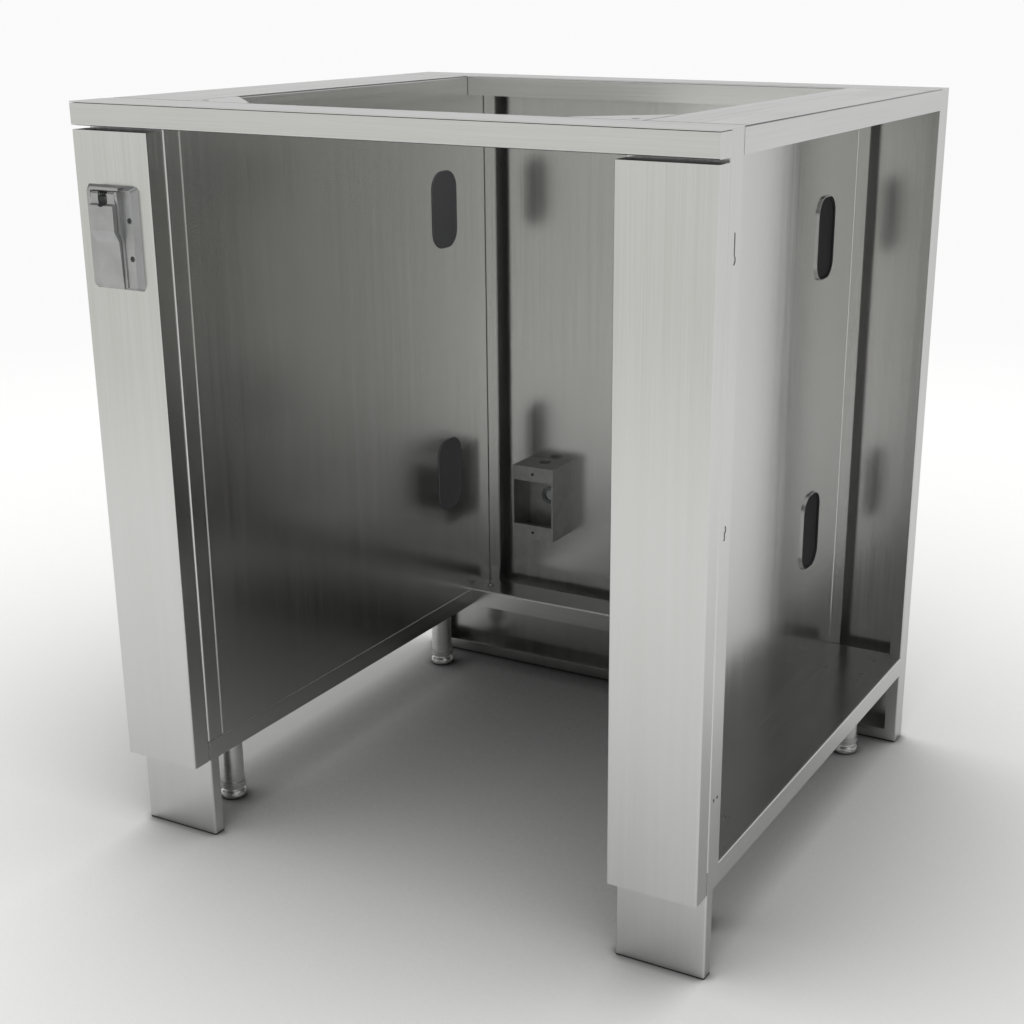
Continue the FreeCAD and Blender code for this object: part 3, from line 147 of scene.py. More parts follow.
@dataclass(frozen=True)
class Finish:
    """A material and how its surface was made: two colours, two roughnesses and the patterns between them.

    Attributes:
        name: common name of the material, and how it was made.
        dark: colour where the figure is low.
        light: colour where the figure is high.
        metallic: 1 for bare metal and 0 for anything else.
        smoothest: roughness where the figure is low.
        roughest: roughness where the figure is high.
        layers: patterns that add up to the figure, the finest first.
        bump_mm: height of the finest pattern.
        bump_strength: share of that height that shows.
        specular: gloss of what isn't metal; 0.5 is the plain gloss of plastic.
        edge_tint: grey of a metal seen at a grazing angle, where 1 is a full mirror.
        low: sum of the layers at which the figure is 0.
        high: sum of the layers at which the figure is 1.
        painted_bay_light: painted light on the bay side, a paler colour there, if it has one.
    """

    name: str
    dark: str
    light: str
    metallic: float
    smoothest: float
    roughest: float
    layers: tuple[Layer, ...]
    bump_mm: float
    bump_strength: float = 0.25
    specular: float = 0.5
    edge_tint: float = 1.0
    low: float = 0.35
    high: float = 0.65
    painted_bay_light: PaintedBayLight | None = None

    def material(self) -> bpy.types.Material:
        """Procedural material, made once: the layers add up to one figure, and the figure sets the rest.

        The figure is the sum of each layer's noise times its share. It is stretched from low and high to
        0 and 1, and then picks the colour between dark and light and the roughness between smoothest and
        roughest. The first layer, which is the finest, also raises the surface by bump_mm.

        Returns:
            The material.
        """
        made = bpy.data.materials.get(self.name)
        if made is not None:
            return made
        made = bpy.data.materials.new(self.name)
        made.use_nodes = True
        tree = made.node_tree
        tree.nodes.clear()
        place = add(tree, "ShaderNodeTexCoord").outputs["Object"]
        figure = None
        finest = None
        for layer in self.layers:
            scale = tuple(1.0 / (size * MM) for size in layer.cell_mm)
            cells = add(tree, "ShaderNodeMapping", {"Scale": scale}, {"Vector": place})
            noise = add(tree, "ShaderNodeTexNoise", {"Scale": 1.0, "Detail": layer.detail},
                        {"Vector": cells.outputs["Vector"]}).outputs["Fac"]
            finest = finest or noise
            links = {0: noise} if figure is None else {0: noise, 2: figure}
            figure = add(tree, "ShaderNodeMath", {"operation": "MULTIPLY_ADD", 1: layer.share, 2: 0.0},
                         links).outputs["Value"]
        level = add(tree, "ShaderNodeMapRange", {"From Min": self.low, "From Max": self.high},
                    {"Value": figure}).outputs["Result"]
        colour = add(tree, "ShaderNodeMix",
                     {"data_type": "RGBA", MIX_A: linear(self.dark), MIX_B: linear(self.light)},
                     {0: level}).outputs[MIXED]
        # Painted light: the side that faces the bay is mixed towards a paler colour, as if lit, and the far
        # side keeps the darker colour, as if in shade.
        if self.painted_bay_light is not None:
            aside = add(tree, "ShaderNodeSeparateXYZ", {}, {"Vector": place}).outputs["X"]
            depth = add(tree, "ShaderNodeMath", {"operation": "ABSOLUTE"}, {0: aside}).outputs["Value"]
            bay_light_share = add(tree, "ShaderNodeMapRange",
                       {"From Min": self.painted_bay_light.gone_mm * MM, "From Max": self.painted_bay_light.whole_mm * MM},
                       {"Value": depth}).outputs["Result"]
            colour = add(tree, "ShaderNodeMix", {"data_type": "RGBA", MIX_B: linear(self.painted_bay_light.colour)},
                         {0: bay_light_share, MIX_A: colour}).outputs[MIXED]
        rough = add(tree, "ShaderNodeMapRange", {"To Min": self.smoothest, "To Max": self.roughest},
                    {"Value": level}).outputs["Result"]
        raised = add(tree, "ShaderNodeBump", {"Strength": self.bump_strength, "Distance": self.bump_mm * MM},
                     {"Height": finest}).outputs["Normal"]
        tint = (self.edge_tint,) * 3 + (1.0,)
        shader = add(tree, "ShaderNodeBsdfPrincipled",
                     {"Metallic": self.metallic, "Specular IOR Level": self.specular, "Specular Tint": tint},
                     {"Base Color": colour, "Roughness": rough, "Normal": raised})
        add(tree, "ShaderNodeOutputMaterial", {}, {"Surface": shader.outputs["BSDF"]})
        return made


def along(grain: Grain, length: float, width: float) -> tuple[float, float, float]:
    """Cell of a brushed line.

    Args:
        grain: direction of the line.
        length: size along the grain, in millimetres.
        width: size across the grain, in millimetres.

    Returns:
        The cell's size along X, Y and Z, in millimetres.
    """
    cell = [width] * 3
    cell[grain.value] = length
    return (cell[0], cell[1], cell[2])


def brushed_stainless(grain: Grain) -> Finish:
    """Austenitic stainless sheet, belt-brushed along one axis.

    It gives the eye a satin grey with fine parallel lines, broad soft bands where the belt wore, and blurred
    reflections. A real line is about 0.1 mm wide; it is drawn about ten times wider so that it shows.

    Args:
        grain: direction of the lines.

    Returns:
        The finish of a sheet that is brushed that way.
    """
    return Finish(
        name="brushed_stainless_" + grain.name.lower(), dark="#C4C4C2", light="#CACAC9", metallic=1.0,
        smoothest=0.19, roughest=0.25, edge_tint=0.8,
        layers=(Layer(along(grain, 150.0, 1.1), 0.45), Layer(along(grain, 600.0, 9.0), 0.35),
                Layer((110.0, 110.0, 110.0), 0.2, 3.0)),
        bump_mm=0.008)


# Zinc-plated button-head steel: turned, so it carries fine rings, and slightly darker than the sheet.
SCREW_STEEL = Finish(
    name="turned_screw_steel", dark="#9A9B98", light="#B7B8B4", metallic=1.0, smoothest=0.24, roughest=0.38,
    layers=(Layer((0.6, 0.6, 0.6), 0.6), Layer((9.0, 9.0, 9.0), 0.4)), bump_mm=0.02)

# Black-chromated screws of the weather cover: dark heads with a dull sheen.
COVER_SCREW_STEEL = Finish(
    name="black_chromate_screw_steel", dark="#4C4D4E", light="#626364", metallic=1.0,
    smoothest=0.3, roughest=0.42,
    layers=(Layer((0.6, 0.6, 0.6), 0.6), Layer((9.0, 9.0, 9.0), 0.4)), bump_mm=0.02)

# Drawn stainless tube, satin polished round its axis: pale, with level lines. They are finer on a real tube,
# and drawn 0.7 mm apart so that they show.
LEG_STEEL = Finish(
    name="satin_stainless_tube", dark="#CDCECB", light="#DCDDDA", metallic=1.0, smoothest=0.26, roughest=0.36,
    layers=(Layer((45.0, 45.0, 0.7), 0.6), Layer((30.0, 30.0, 30.0), 0.4)), bump_mm=0.015)

# Turned stainless bar: tool rings round the pad and the stem.
FOOT_STEEL = Finish(
    name="turned_stainless_bar", dark="#BFC0BD", light="#D4D5D2", metallic=1.0, smoothest=0.22, roughest=0.34,
    layers=(Layer((45.0, 45.0, 0.6), 0.6), Layer((24.0, 24.0, 24.0), 0.4)), bump_mm=0.02)

# Moulded EPDM: matt near-black with a fine grit, and painted light: a paler grey on the side that faces the
# bay, as if lit there, while the cavity side keeps the near-black as if in shade.
GROMMET_RUBBER = Finish(
    name="moulded_epdm_rubber", dark="#1C1C1D", light="#272728", metallic=0.0, smoothest=0.6, roughest=0.78,
    layers=(Layer((0.9, 0.9, 0.9), 0.5), Layer((35.0, 35.0, 35.0), 0.5)), bump_mm=0.05, specular=0.15,
    painted_bay_light=PaintedBayLight("#58585A", 274.3, 275.5))

# Spring wire with a black oxide skin: dark, even and a little oily.
SPRING_WIRE = Finish(
    name="black_oxide_spring_wire", dark="#262728", light="#38393A", metallic=1.0,
    smoothest=0.3, roughest=0.42,
    layers=(Layer((0.6, 0.6, 0.6), 0.5), Layer((5.0, 5.0, 5.0), 0.5)), bump_mm=0.01)

# Die-cast zinc, tumbled and clear-lacquered: an even soft grey with a faint orange peel.
COVER_CASTING = Finish(
    name="die_cast_zinc", dark="#9D9E9E", light="#ADAEAE", metallic=1.0, smoothest=0.36, roughest=0.48,
    layers=(Layer((1.1, 1.1, 1.1), 0.4), Layer((22.0, 22.0, 22.0), 0.6)), bump_mm=0.04)

# Sand-cast aluminium: rough skin with visible grit and cloudy grey.
BOX_CASTING = Finish(
    name="sand_cast_aluminium", dark="#8C8D8C", light="#A9AAA8", metallic=1.0, smoothest=0.4, roughest=0.58,
    layers=(Layer((0.9, 0.9, 0.9), 0.5), Layer((14.0, 14.0, 14.0), 0.5)), bump_mm=0.12)

# Closed-cell neoprene sheet: black, dull and finely pitted.
GASKET_RUBBER = Finish(
    name="closed_cell_neoprene", dark="#141414", light="#232323", metallic=0.0, smoothest=0.75, roughest=0.9,
    layers=(Layer((0.7, 0.7, 0.7), 0.6), Layer((12.0, 12.0, 12.0), 0.4)), bump_mm=0.1)

# Zinc-plated strip steel: bright with cloudy spangle.
YOKE_STEEL = Finish(
    name="zinc_plated_strip", dark="#A0A4A6", light="#C6C8C6", metallic=1.0, smoothest=0.26, roughest=0.42,
    layers=(Layer((2.5, 2.5, 2.5), 0.5), Layer((10.0, 10.0, 10.0), 0.5)), bump_mm=0.01)

# Moulded nylon of the outlet: warm white with a faint moulded texture.
OUTLET_NYLON = Finish(
    name="moulded_nylon", dark="#DAD8D2", light="#E6E4DE", metallic=0.0, smoothest=0.32, roughest=0.44,
    layers=(Layer((0.5, 0.5, 0.5), 0.5), Layer((18.0, 18.0, 18.0), 0.5)), bump_mm=0.02)

# Rolled brass strip of the contacts: yellow, a little tarnished.
CONTACT_BRASS = Finish(
    name="rolled_brass", dark="#A98A45", light="#D0B36A", metallic=1.0, smoothest=0.24, roughest=0.4,
    layers=(Layer((0.8, 20.0, 0.8), 0.5), Layer((6.0, 6.0, 6.0), 0.5)), bump_mm=0.01)

# Moulded PVC of the device box: dull blue-grey.
BOX_PVC = Finish(
    name="moulded_pvc", dark="#5E666D", light="#727A80", metallic=0.0, smoothest=0.45, roughest=0.6,
    layers=(Layer((0.8, 0.8, 0.8), 0.5), Layer((20.0, 20.0, 20.0), 0.5)), bump_mm=0.04)

# Moulded ABS of the buttons: one black and one red, both semi-gloss.
BUTTON_BLACK = Finish(
    name="moulded_black_abs", dark="#171718", light="#242425", metallic=0.0, smoothest=0.28, roughest=0.4,
    layers=(Layer((0.5, 0.5, 0.5), 0.5), Layer((6.0, 6.0, 6.0), 0.5)), bump_mm=0.02)
BUTTON_RED = Finish(
    name="moulded_red_abs", dark="#8E1F1C", light="#A62A24", metallic=0.0, smoothest=0.28, roughest=0.4,
    layers=(Layer((0.5, 0.5, 0.5), 0.5), Layer((6.0, 6.0, 6.0), 0.5)), bump_mm=0.02)

# Moulded silicone of the cable seal: pale grey and matt, with a faint grit.
SEAL_SILICONE = Finish(
    name="moulded_grey_silicone", dark="#A6A7A7", light="#B6B7B6", metallic=0.0, smoothest=0.5, roughest=0.65,
    layers=(Layer((0.7, 0.7, 0.7), 0.5), Layer((6.0, 6.0, 6.0), 0.5)), bump_mm=0.03)

# Turned bushing of the cable entry, with a dull zinc coat: fine rings and a darker grey than the casting.
BUSHING_STEEL = Finish(
    name="turned_zinc_bushing", dark="#5A5C5D", light="#7C7E7E", metallic=1.0, smoothest=0.16, roughest=0.26,
    layers=(Layer((30.0, 0.6, 30.0), 0.6), Layer((8.0, 8.0, 8.0), 0.4)), bump_mm=0.02)


# Surfaces
@dataclass(frozen=True)
class Grid:
    """Points of a surface in rows and columns, where each row may close on itself."""

    points: Array
    ring_columns: bool = False

    def faces(self) -> Array:
        """Faces between each row and the next.

        A face has four corners: a point, the one above it, the one after that and the one after the first.

        Returns:
            Numbers of the four points of each face.
        """
        rows, columns = self.points.shape[:2]
        index = np.arange(rows * columns).reshape(rows, columns)
        if self.ring_columns:
            index = np.hstack([index, index[:, :1]])
        corners = [index[:-1, :-1], index[1:, :-1], index[1:, 1:], index[:-1, 1:]]
        return np.stack(corners, axis=-1).reshape(-1, 4)


def eased(corners: Array, reach: Array, steps: int = 6) -> Array:
    """Open line whose corners are rounded.

    Each corner C becomes the parabola (1-t)(1-t)S + 2t(1-t)C + ttE, where S and E lie on its two sides at the
    distance reach. A reach of 0 keeps the corner.

    Args:
        corners: points of the line, one row each.
        reach: distance at which each corner starts to turn; the first and last are 0.
        steps: points for each corner.

    Returns:
        Points of the rounded line.
    """
    before = np.vstack([corners[:1], corners[:-1]]) - corners
    after = np.vstack([corners[1:], corners[-1:]]) - corners
    before = before / np.maximum(np.linalg.norm(before, axis=1, keepdims=True), SAME_PLACE)
    after = after / np.maximum(np.linalg.norm(after, axis=1, keepdims=True), SAME_PLACE)
    start = (corners + before * reach[:, None])[:, None]
    end = (corners + after * reach[:, None])[:, None]
    t = np.linspace(0.0, 1.0, steps)[None, :, None]
    curve = (1 - t) ** 2 * start + 2 * t * (1 - t) * corners[:, None] + t ** 2 * end
    line = curve.reshape(-1, corners.shape[1])
    step = np.linalg.norm(np.diff(line, axis=0), axis=1)
    return line[np.concatenate([[True], step > SAME_PLACE])]


def turned(profile: Array, centre: Array, steps: int = 48) -> Grid:
    """Surface turned about an upright axis: radius and height of the profile, carried round the centre.

    Args:
        profile: radius and height of each point.
        centre: point on the axis, at height 0 of the profile.
        steps: points round the axis.

    Returns:
        The surface, a row for each point of the profile.
    """
    angle = np.linspace(0.0, TURN, steps, endpoint=False)
    radius, height = profile[:, :1], profile[:, 1:]
    points = np.stack([radius * np.cos(angle), radius * np.sin(angle), height + 0.0 * angle], axis=-1)
    return Grid(points + centre, ring_columns=True)


def wrapped(name: str, grids: list[Grid], finish: Finish) -> bpy.types.Object:
    """Object from one or more surfaces, with seams and poles closed and faces pointing outwards.

    Args:
        name: name of the piece.
        grids: surfaces that make up the piece.
        finish: what it is made of.

    Returns:
        The object, at the origin.
    """
    starts = np.cumsum([0] + [grid.points.shape[0] * grid.points.shape[1] for grid in grids[:-1]])
    points = np.vstack([grid.points.reshape(-1, 3) for grid in grids])
    faces = np.vstack([grid.faces() + start for grid, start in zip(grids, starts)])
    mesh = bpy.data.meshes.new(name)
    mesh.from_pydata(points.tolist(), [], faces.tolist())
    return finished(name, mesh, finish)


def finished(name: str, mesh: bpy.types.Mesh, finish: Finish) -> bpy.types.Object:
    """Merges a mesh, points its faces outwards, smooths it up to its sharp edges and makes it an object.

    Args:
        name: name of the piece.
        mesh: mesh with its place in its points.
        finish: what it is made of.

    Returns:
        The object, at the origin.
    """
    work = bmesh.new()
    work.from_mesh(mesh)
    bmesh.ops.remove_doubles(work, verts=work.verts, dist=SAME_PLACE)
    bmesh.ops.recalc_face_normals(work, faces=work.faces)
    work.to_mesh(mesh)
    work.free()
    mesh.polygons.foreach_set("use_smooth", np.ones(len(mesh.polygons), dtype=bool))
    mesh.set_sharp_from_angle(angle=SHARP_EDGE)
    mesh.materials.clear()
    mesh.materials.append(finish.material())
    made = bpy.data.objects.new(name, mesh)
    bpy.context.scene.collection.objects.link(made)
    return made


def fitted(made: bpy.types.Object, body: str, slot: str, *nodes: str) -> None:
    """Fixes a new piece on a body, in the place of the nodes that it stands for.

    Args:
        made: the piece.
        body: body that it moves with.
        slot: material slot of the record; not used.
        nodes: nodes that it replaces.
    """
    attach(made, body)
    if nodes:
        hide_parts(*nodes)
    LOG.info("%s: %d faces, on %s", made.name, len(made.data.polygons), body)


def dressed(finish: Finish, *nodes: str) -> None:
    """Gives a finish to nodes that keep their shape.

    Args:
        finish: what they are made of.
        nodes: names of the nodes.
    """
    for node in nodes:
        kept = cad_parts[node]
        kept.data.materials.clear()
        kept.data.materials.append(finish.material())
        LOG.info("%s: %s", node, finish.name)


# Sub-assemblies
@dataclass
class TopFrame:
    """Top frame that the worktop lies on: four rails, the apron and two corner gussets."""

    across: tuple[str, ...] = ("top_front_rail", "top_rear_rail", "front_apron")
    deep: tuple[str, ...] = ("top_left_rail", "top_right_rail")
    gussets: tuple[str, ...] = ("left_corner_gusset", "right_corner_gusset")

    def dress(self) -> None:
        """Brushes each rail along its length."""
        dressed(brushed_stainless(Grain.ACROSS), *self.across, *self.gussets)
        dressed(brushed_stainless(Grain.DEPTH), *self.deep)
        dressed(SCREW_STEEL, "gusset_screws")


@dataclass
class FrontPosts:
    """Two posts beside the bay: a stile, the fascia on it, and the toe kick below with its edging."""

    pieces: tuple[str, ...] = ("front_stile", "fascia", "toe_kick")
    sheet: float = 1.2 * MM
    bend: float = 2.2 * MM
    kick_return: float = 15.0 * MM
    floor_gap: float = 0.1 * MM
    edging_ease: float = 0.4 * MM

    def build(self) -> None:
        """Makes the dark rubber edgings that fill the gap between the toe kicks and the floor; their dark
        line along the foot of each kick also stands in for the shade of that gap, as painted shade.
        """
        for side in Side:
            node = side.name.lower() + "_toe_kick"
            low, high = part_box(node)
            # Painted shade in part: the black strip darkens the line under the kick where the gap would be in
            # shade.
            strip = wrapped(node + "_edging", [self.edging(low, high)], GASKET_RUBBER)
            fitted(strip, "cabinet", "gasket_rubber")

    def edging(self, low: Vector, high: Vector) -> Grid:
        """Strip below a toe kick: a flat section carried along the folded outline of the kick.

        A point of the section lies a way in from the outline, along its normal, and at a height above the
        floor. The first and the last row shrink to the middle of the section, which closes the ends.

        Args:
            low: lowest corner of the toe kick.
            high: highest corner of the toe kick.

        Returns:
            The closed surface, a row for each point of the outline.
        """
        back = low.y + self.kick_return
        turns = np.array([(low.x, back), (low.x, low.y), (high.x, low.y), (high.x, back)])
        line = eased(turns, self.bend * np.array([0.0, 1.0, 1.0, 0.0]))
        ahead = np.gradient(line, axis=0)
        ahead = ahead / np.linalg.norm(ahead, axis=1, keepdims=True)
        line, ahead = (np.vstack([rows[:1], rows, rows[-1:]]) for rows in (line, ahead))
        corners = np.array([(0.0, low.z), (0.0, self.floor_gap),
                            (self.sheet, self.floor_gap), (self.sheet, low.z)])
        section = eased(corners, self.edging_ease * np.array([0.0, 1.0, 1.0, 0.0]))
        share = np.ones((len(line), 1))
        share[[0, -1]] = 0.0
        middle = section.mean(axis=0)
        inset = middle[0] + share * (section[:, 0] - middle[0])
        z = middle[1] + share * (section[:, 1] - middle[1])
        x = line[:, :1] - ahead[:, 1:] * inset
        y = line[:, 1:] + ahead[:, :1] * inset
        return Grid(np.stack([x, y, z], axis=-1), ring_columns=True)

    def dress(self) -> None:
        """Brushes both posts upright."""
        upright = brushed_stainless(Grain.UPRIGHT)
        for side in Side:
            dressed(upright, *(side.name.lower() + "_" + piece for piece in self.pieces))
        dressed(SCREW_STEEL, "fascia_screws", "toe_kick_screws")


@dataclass
class Base:
    """Two base pans that stand on the legs, and the rail across the back of the bay."""

    pans: tuple[str, ...] = ("left_base_pan", "right_base_pan")

    def dress(self) -> None:
        """Brushes each piece along its length."""
        dressed(brushed_stainless(Grain.DEPTH), *self.pans)
        dressed(brushed_stainless(Grain.ACROSS), "rear_base_rail")
        dressed(SCREW_STEEL, "base_rail_screws")


@dataclass
class BayWalls:
    """Liners of the bay with their rubber grommets, the rear stiles and the back panel."""

    port_width: float = 57.0 * MM
    port_height: float = 100.0 * MM
    port_corner: float = 22.0 * MM
    rim: float = 2.4 * MM
    rim_thickness: float = 1.2 * MM
    fit: float = 0.3 * MM
    wall: float = 2.0 * MM
    dish: float = 0.5 * MM
    web: float = 1.6 * MM
    ease: float = 0.5 * MM
    flat_share: float = 0.9
    corner_steps: int = 13

    def build(self) -> None:
        """Makes the grommets of both liners."""
        for side in Side:
            node = side.name.lower() + "_port_grommets"
            low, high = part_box(node)
            bay = high.x if side is Side.LEFT else low.x
            middle = (low.y + high.y) / 2
            rise = self.port_height / 2 + self.rim
            reach = high.x - low.x
            levels = (low.z + rise, high.z - rise)
            grids = [self.grommet(side, bay, reach, middle, level) for level in levels]
            pair = wrapped(node + "_moulded", grids, GROMMET_RUBBER)
            fitted(pair, "cabinet", "grommet_rubber", node)

    def grommet(self, side: Side, bay: float, reach: float, middle: float, level: float) -> Grid:
        """One grommet: a section carried round a rounded rectangle, and closed over its middle.

        The section gives, for each of its points, how far it lies outside the port's outline and how deep
        behind the rim's face. Round the path, a point is the centre of the nearest corner plus the corner's
        radius, grown by that distance, times the cosine and the sine of the sweep. The first and the last row
        shrink to the middle of the port, which closes both faces of the web.

        Args:
            side: side of the cabinet.
            bay: X of the rim's face to the bay.
            reach: depth of the whole grommet.
            middle: Y of the port.
            level: Z of the port.

        Returns:
            The closed surface.
        """
        bore = -self.fit - self.wall
        inside = self.flat_share * self.port_corner
        back = self.dish + self.web
        corners = np.array([
            (-self.port_corner, self.dish), (-inside, self.dish), (bore, self.dish), (bore, 0.0),
            (self.rim, 0.0), (self.rim, self.rim_thickness), (-self.fit, self.rim_thickness),
            (-self.fit, reach), (bore, reach), (bore, back), (-inside, back), (-self.port_corner, back)])
        # Rounding of each corner as a share of the ease, in the order above
        rounding = np.array([0, 0, 0.8, 0.8, 1.4, 0.3, 0, 1.4, 1.4, 1.6, 0, 0])
        section = eased(corners, self.ease * rounding)
        quarter = np.linspace(0.0, TURN / 4, self.corner_steps)
        sweep = np.concatenate([quarter + TURN / 4 * step for step in range(4)])
        across = np.repeat([1.0, -1.0, -1.0, 1.0], quarter.size) * (self.port_width / 2 - self.port_corner)
        up = np.repeat([1.0, 1.0, -1.0, -1.0], quarter.size) * (self.port_height / 2 - self.port_corner)
        radius = self.port_corner + section[:, :1]
        share = np.ones_like(radius)
        share[[0, -1]] = 0.0
        x = bay + side.value * section[:, 1:] + 0.0 * sweep
        y = middle + share * (across + radius * np.cos(sweep))
        z = level + share * (up + radius * np.sin(sweep))
        return Grid(np.stack([x, y, z], axis=-1), ring_columns=True)

    def dress(self) -> None:
        """Brushes the walls upright."""
        upright = brushed_stainless(Grain.UPRIGHT)
        for side in Side:
            dressed(upright, side.name.lower() + "_liner", side.name.lower() + "_rear_stile")
        dressed(upright, "back_panel")
        dressed(SCREW_STEEL, "back_panel_screws")


@dataclass
class LevellingLegs:
    """Four legs: a tube with its plate, a plug in its end and a foot that screws into the plug."""

    pad: float = 16.5 * MM
    pad_height: float = 14.4 * MM
    neck: float = 12.9 * MM
    groove: float = 0.7 * MM
    stem: float = 5.0 * MM
    stem_length: float = 50.0 * MM
    pitch: float = 1.5 * MM
    thread: float = 0.8 * MM
    point: float = 1.0 * MM
    foot_round: float = 1.6 * MM
    groove_levels: tuple[float, ...] = (0.33, 0.37, 0.41, 0.45)
    shoulder_levels: tuple[float, ...] = (0.52, 0.76)
    rows_per_turn: int = 8
    stem_steps: int = 32

    def build(self) -> None:
        """Makes the four feet."""
        for corner in Corner:
            node = "foot_" + corner.value
            low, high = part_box(node)
            centre = np.array([(low.x + high.x) / 2, (low.y + high.y) / 2, low.z])
            grids = [turned(self.pad_profile(), centre), self.threaded_stem(centre)]
            fitted(wrapped(node + "_turned", grids, FOOT_STEEL), node + "_body", "foot_steel", node)

    def pad_profile(self) -> Array:
        """Section of the pad: a broad eased foot, a grooved waist and a neck, up to the stem.

        Returns:
            Radius and height of each point, from the middle of the underside to the root of the stem.
        """
        high = self.pad_height
        waist = self.pad - self.groove
        levels = high * np.array(self.groove_levels + self.shoulder_levels)
        corners = np.array([
            (0.0, 0.0), (self.pad - self.foot_round, 0.0), (self.pad, self.foot_round), (self.pad, levels[0]),
            (waist, levels[1]), (waist, levels[2]), (self.pad, levels[3]), (self.pad, levels[4]),
            (self.neck, levels[5]), (self.neck, high), (self.stem - self.thread, high)])
        # Rounding of each corner in millimetres, in the order above
        reach = MM * np.array([0.0, 0.8, 0.8, 0.2, 0.2, 0.2, 0.2, 1.2, 1.2, 0.7, 0.0])
        return eased(corners, reach)

    def threaded_stem(self, centre: Array) -> Grid:
        """Stem with a screw thread.

        At the height h and the angle a, the radius is the root plus the thread's depth times a triangle wave
        of h / pitch - a / turn, and it narrows to nothing over the point at the top.

        Args:
            centre: middle of the foot's underside.

        Returns:
            The surface, a row for each height.
        """
        rows = int(self.stem_length / self.pitch * self.rows_per_turn)
        height = np.linspace(0.0, self.stem_length, rows)[:, None]
        angle = np.linspace(0.0, TURN, self.stem_steps, endpoint=False)[None, :]
        wave = np.abs(2.0 * np.mod(height / self.pitch - angle / TURN, 1.0) - 1.0)
        fade = np.clip((self.stem_length - height) / self.point, 0.0, 1.0)
        start = np.clip(height / self.pitch, 0.0, 1.0)
        radius = (self.stem - self.thread) * np.sqrt(fade) + self.thread * wave * fade * start
        points = np.stack([radius * np.cos(angle), radius * np.sin(angle),
                           self.pad_height + height + 0.0 * angle], axis=-1)
        return Grid(points + centre, ring_columns=True)

    def dress(self) -> None:
        """Polishes the tubes and turns the plugs."""
        dressed(LEG_STEEL, *("leg_" + corner.value for corner in Corner))
        dressed(FOOT_STEEL, "leg_plugs")
        dressed(SCREW_STEEL, "leg_screws")


@dataclass
class WeatherOutlet:
    """Outlet in the left fascia: a cast cover with a sprung lid, and the receptacle behind it."""

    turns: float = 3.5
    wire: float = 0.45 * MM
    wire_steps: int = 170
    wire_sides: int = 12
    end_taper: float = 60.0
    castings: tuple[str, ...] = ("outlet_cover", "outlet_lid")

    def build(self) -> None:
        """Makes the closing spring of the lid."""
        low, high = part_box("outlet_lid_spring")
        fitted(wrapped("outlet_lid_spring_wound", [self.spring(low, high)], SPRING_WIRE), "cabinet",
               "screw_steel", "outlet_lid_spring")

    def spring(self, low: Vector, high: Vector) -> Grid:
        """Round wire wound along X inside a box.

        The middle of the wire is a helix: x rises evenly while y and z go round the axis. The wire is a
        circle about it, in the plane of the radius and the axis, and shrinks to a point at both ends.

        Args:
            low: lowest corner of the spring.
            high: highest corner of the spring.

        Returns:
            The closed surface, a row for each step along the wire.
        """
        along_wire = np.linspace(0.0, 1.0, self.wire_steps)[:, None]
        around = np.linspace(0.0, TURN, self.wire_sides, endpoint=False)[None, :]
        coil = (high.z - low.z) / 2 - self.wire
        turn = TURN * self.turns * along_wire
        ends = np.clip(np.minimum(along_wire, 1.0 - along_wire) * self.end_taper, 0.0, 1.0)
        wire = self.wire * np.sqrt(ends)
        radius = coil + wire * np.cos(around)
        x = low.x + self.wire + (high.x - low.x - 2 * self.wire) * along_wire + wire * np.sin(around)
        y = (low.y + high.y) / 2 + radius * np.cos(turn)
        z = (low.z + high.z) / 2 + radius * np.sin(turn)
        return Grid(np.stack([x, y, z], axis=-1), ring_columns=True)

    def dress(self) -> None:
        """Gives each piece of the outlet its material."""
        dressed(COVER_CASTING, *self.castings)
        dressed(SCREW_STEEL, "outlet_hinge_pin", "outlet_yoke_screws")
        dressed(COVER_SCREW_STEEL, "outlet_cover_screws")
        dressed(GASKET_RUBBER, "outlet_gasket")
        dressed(YOKE_STEEL, "outlet_yoke")
        dressed(OUTLET_NYLON, "outlet_face", "outlet_body")
        dressed(CONTACT_BRASS, "outlet_contacts")
        dressed(BOX_PVC, "outlet_device_box")
        dressed(BUTTON_BLACK, "outlet_test_button")
        dressed(BUTTON_RED, "outlet_reset_button")


@dataclass
class JunctionBox:
    """Cast box on the back panel, with a bushing in its cable entry and a seal that a cable pierces."""

    seal: float = 8.1 * MM
    nipple: float = 2.0 * MM
    slope: float = 5.5 * MM
    rise: float = 0.6 * MM
    skin: float = 0.8 * MM
    setback: float = 0.2 * MM
    seal_ease: float = 0.3 * MM
    seal_steps: int = 48

    def build(self) -> None:
        """Makes the seal in the rear end of the bushing."""
        low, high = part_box("junction_box_bushing")
        made = wrapped("junction_box_entry_seal", [self.entry_seal(low, high)], SEAL_SILICONE)
        fitted(made, "cabinet", "grommet_rubber")

    def entry_seal(self, low: Vector, high: Vector) -> Grid:
        """Thin disc with a raised middle: radius and depth of a section, carried round the bushing's axis.

        Args:
            low: lowest corner of the bushing.
            high: highest corner of the bushing.

        Returns:
            The closed surface, a row for each point of the section.
        """
        face = np.array([(0.0, 0.0), (self.nipple, 0.0), (self.slope, self.rise), (self.seal, self.rise)])
        corners = np.vstack([face, face[::-1] + (0.0, self.skin)])
        section = eased(corners, self.seal_ease * np.array([0, 1, 1, 1, 1, 1, 1, 0]))
        angle = np.linspace(0.0, TURN, self.seal_steps, endpoint=False)
        radius, depth = section[:, :1], section[:, 1:]
        x = (low.x + high.x) / 2 + radius * np.cos(angle)
        y = high.y - self.setback - self.rise - self.skin + depth + 0.0 * angle
        z = (low.z + high.z) / 2 + radius * np.sin(angle)
        return Grid(np.stack([x, y, z], axis=-1), ring_columns=True)

    def dress(self) -> None:
        """Gives the casting, the bushing and the screws their materials."""
        dressed(BOX_CASTING, "junction_box")
        dressed(BUSHING_STEEL, "junction_box_bushing")
        dressed(SCREW_STEEL, "junction_box_screws")


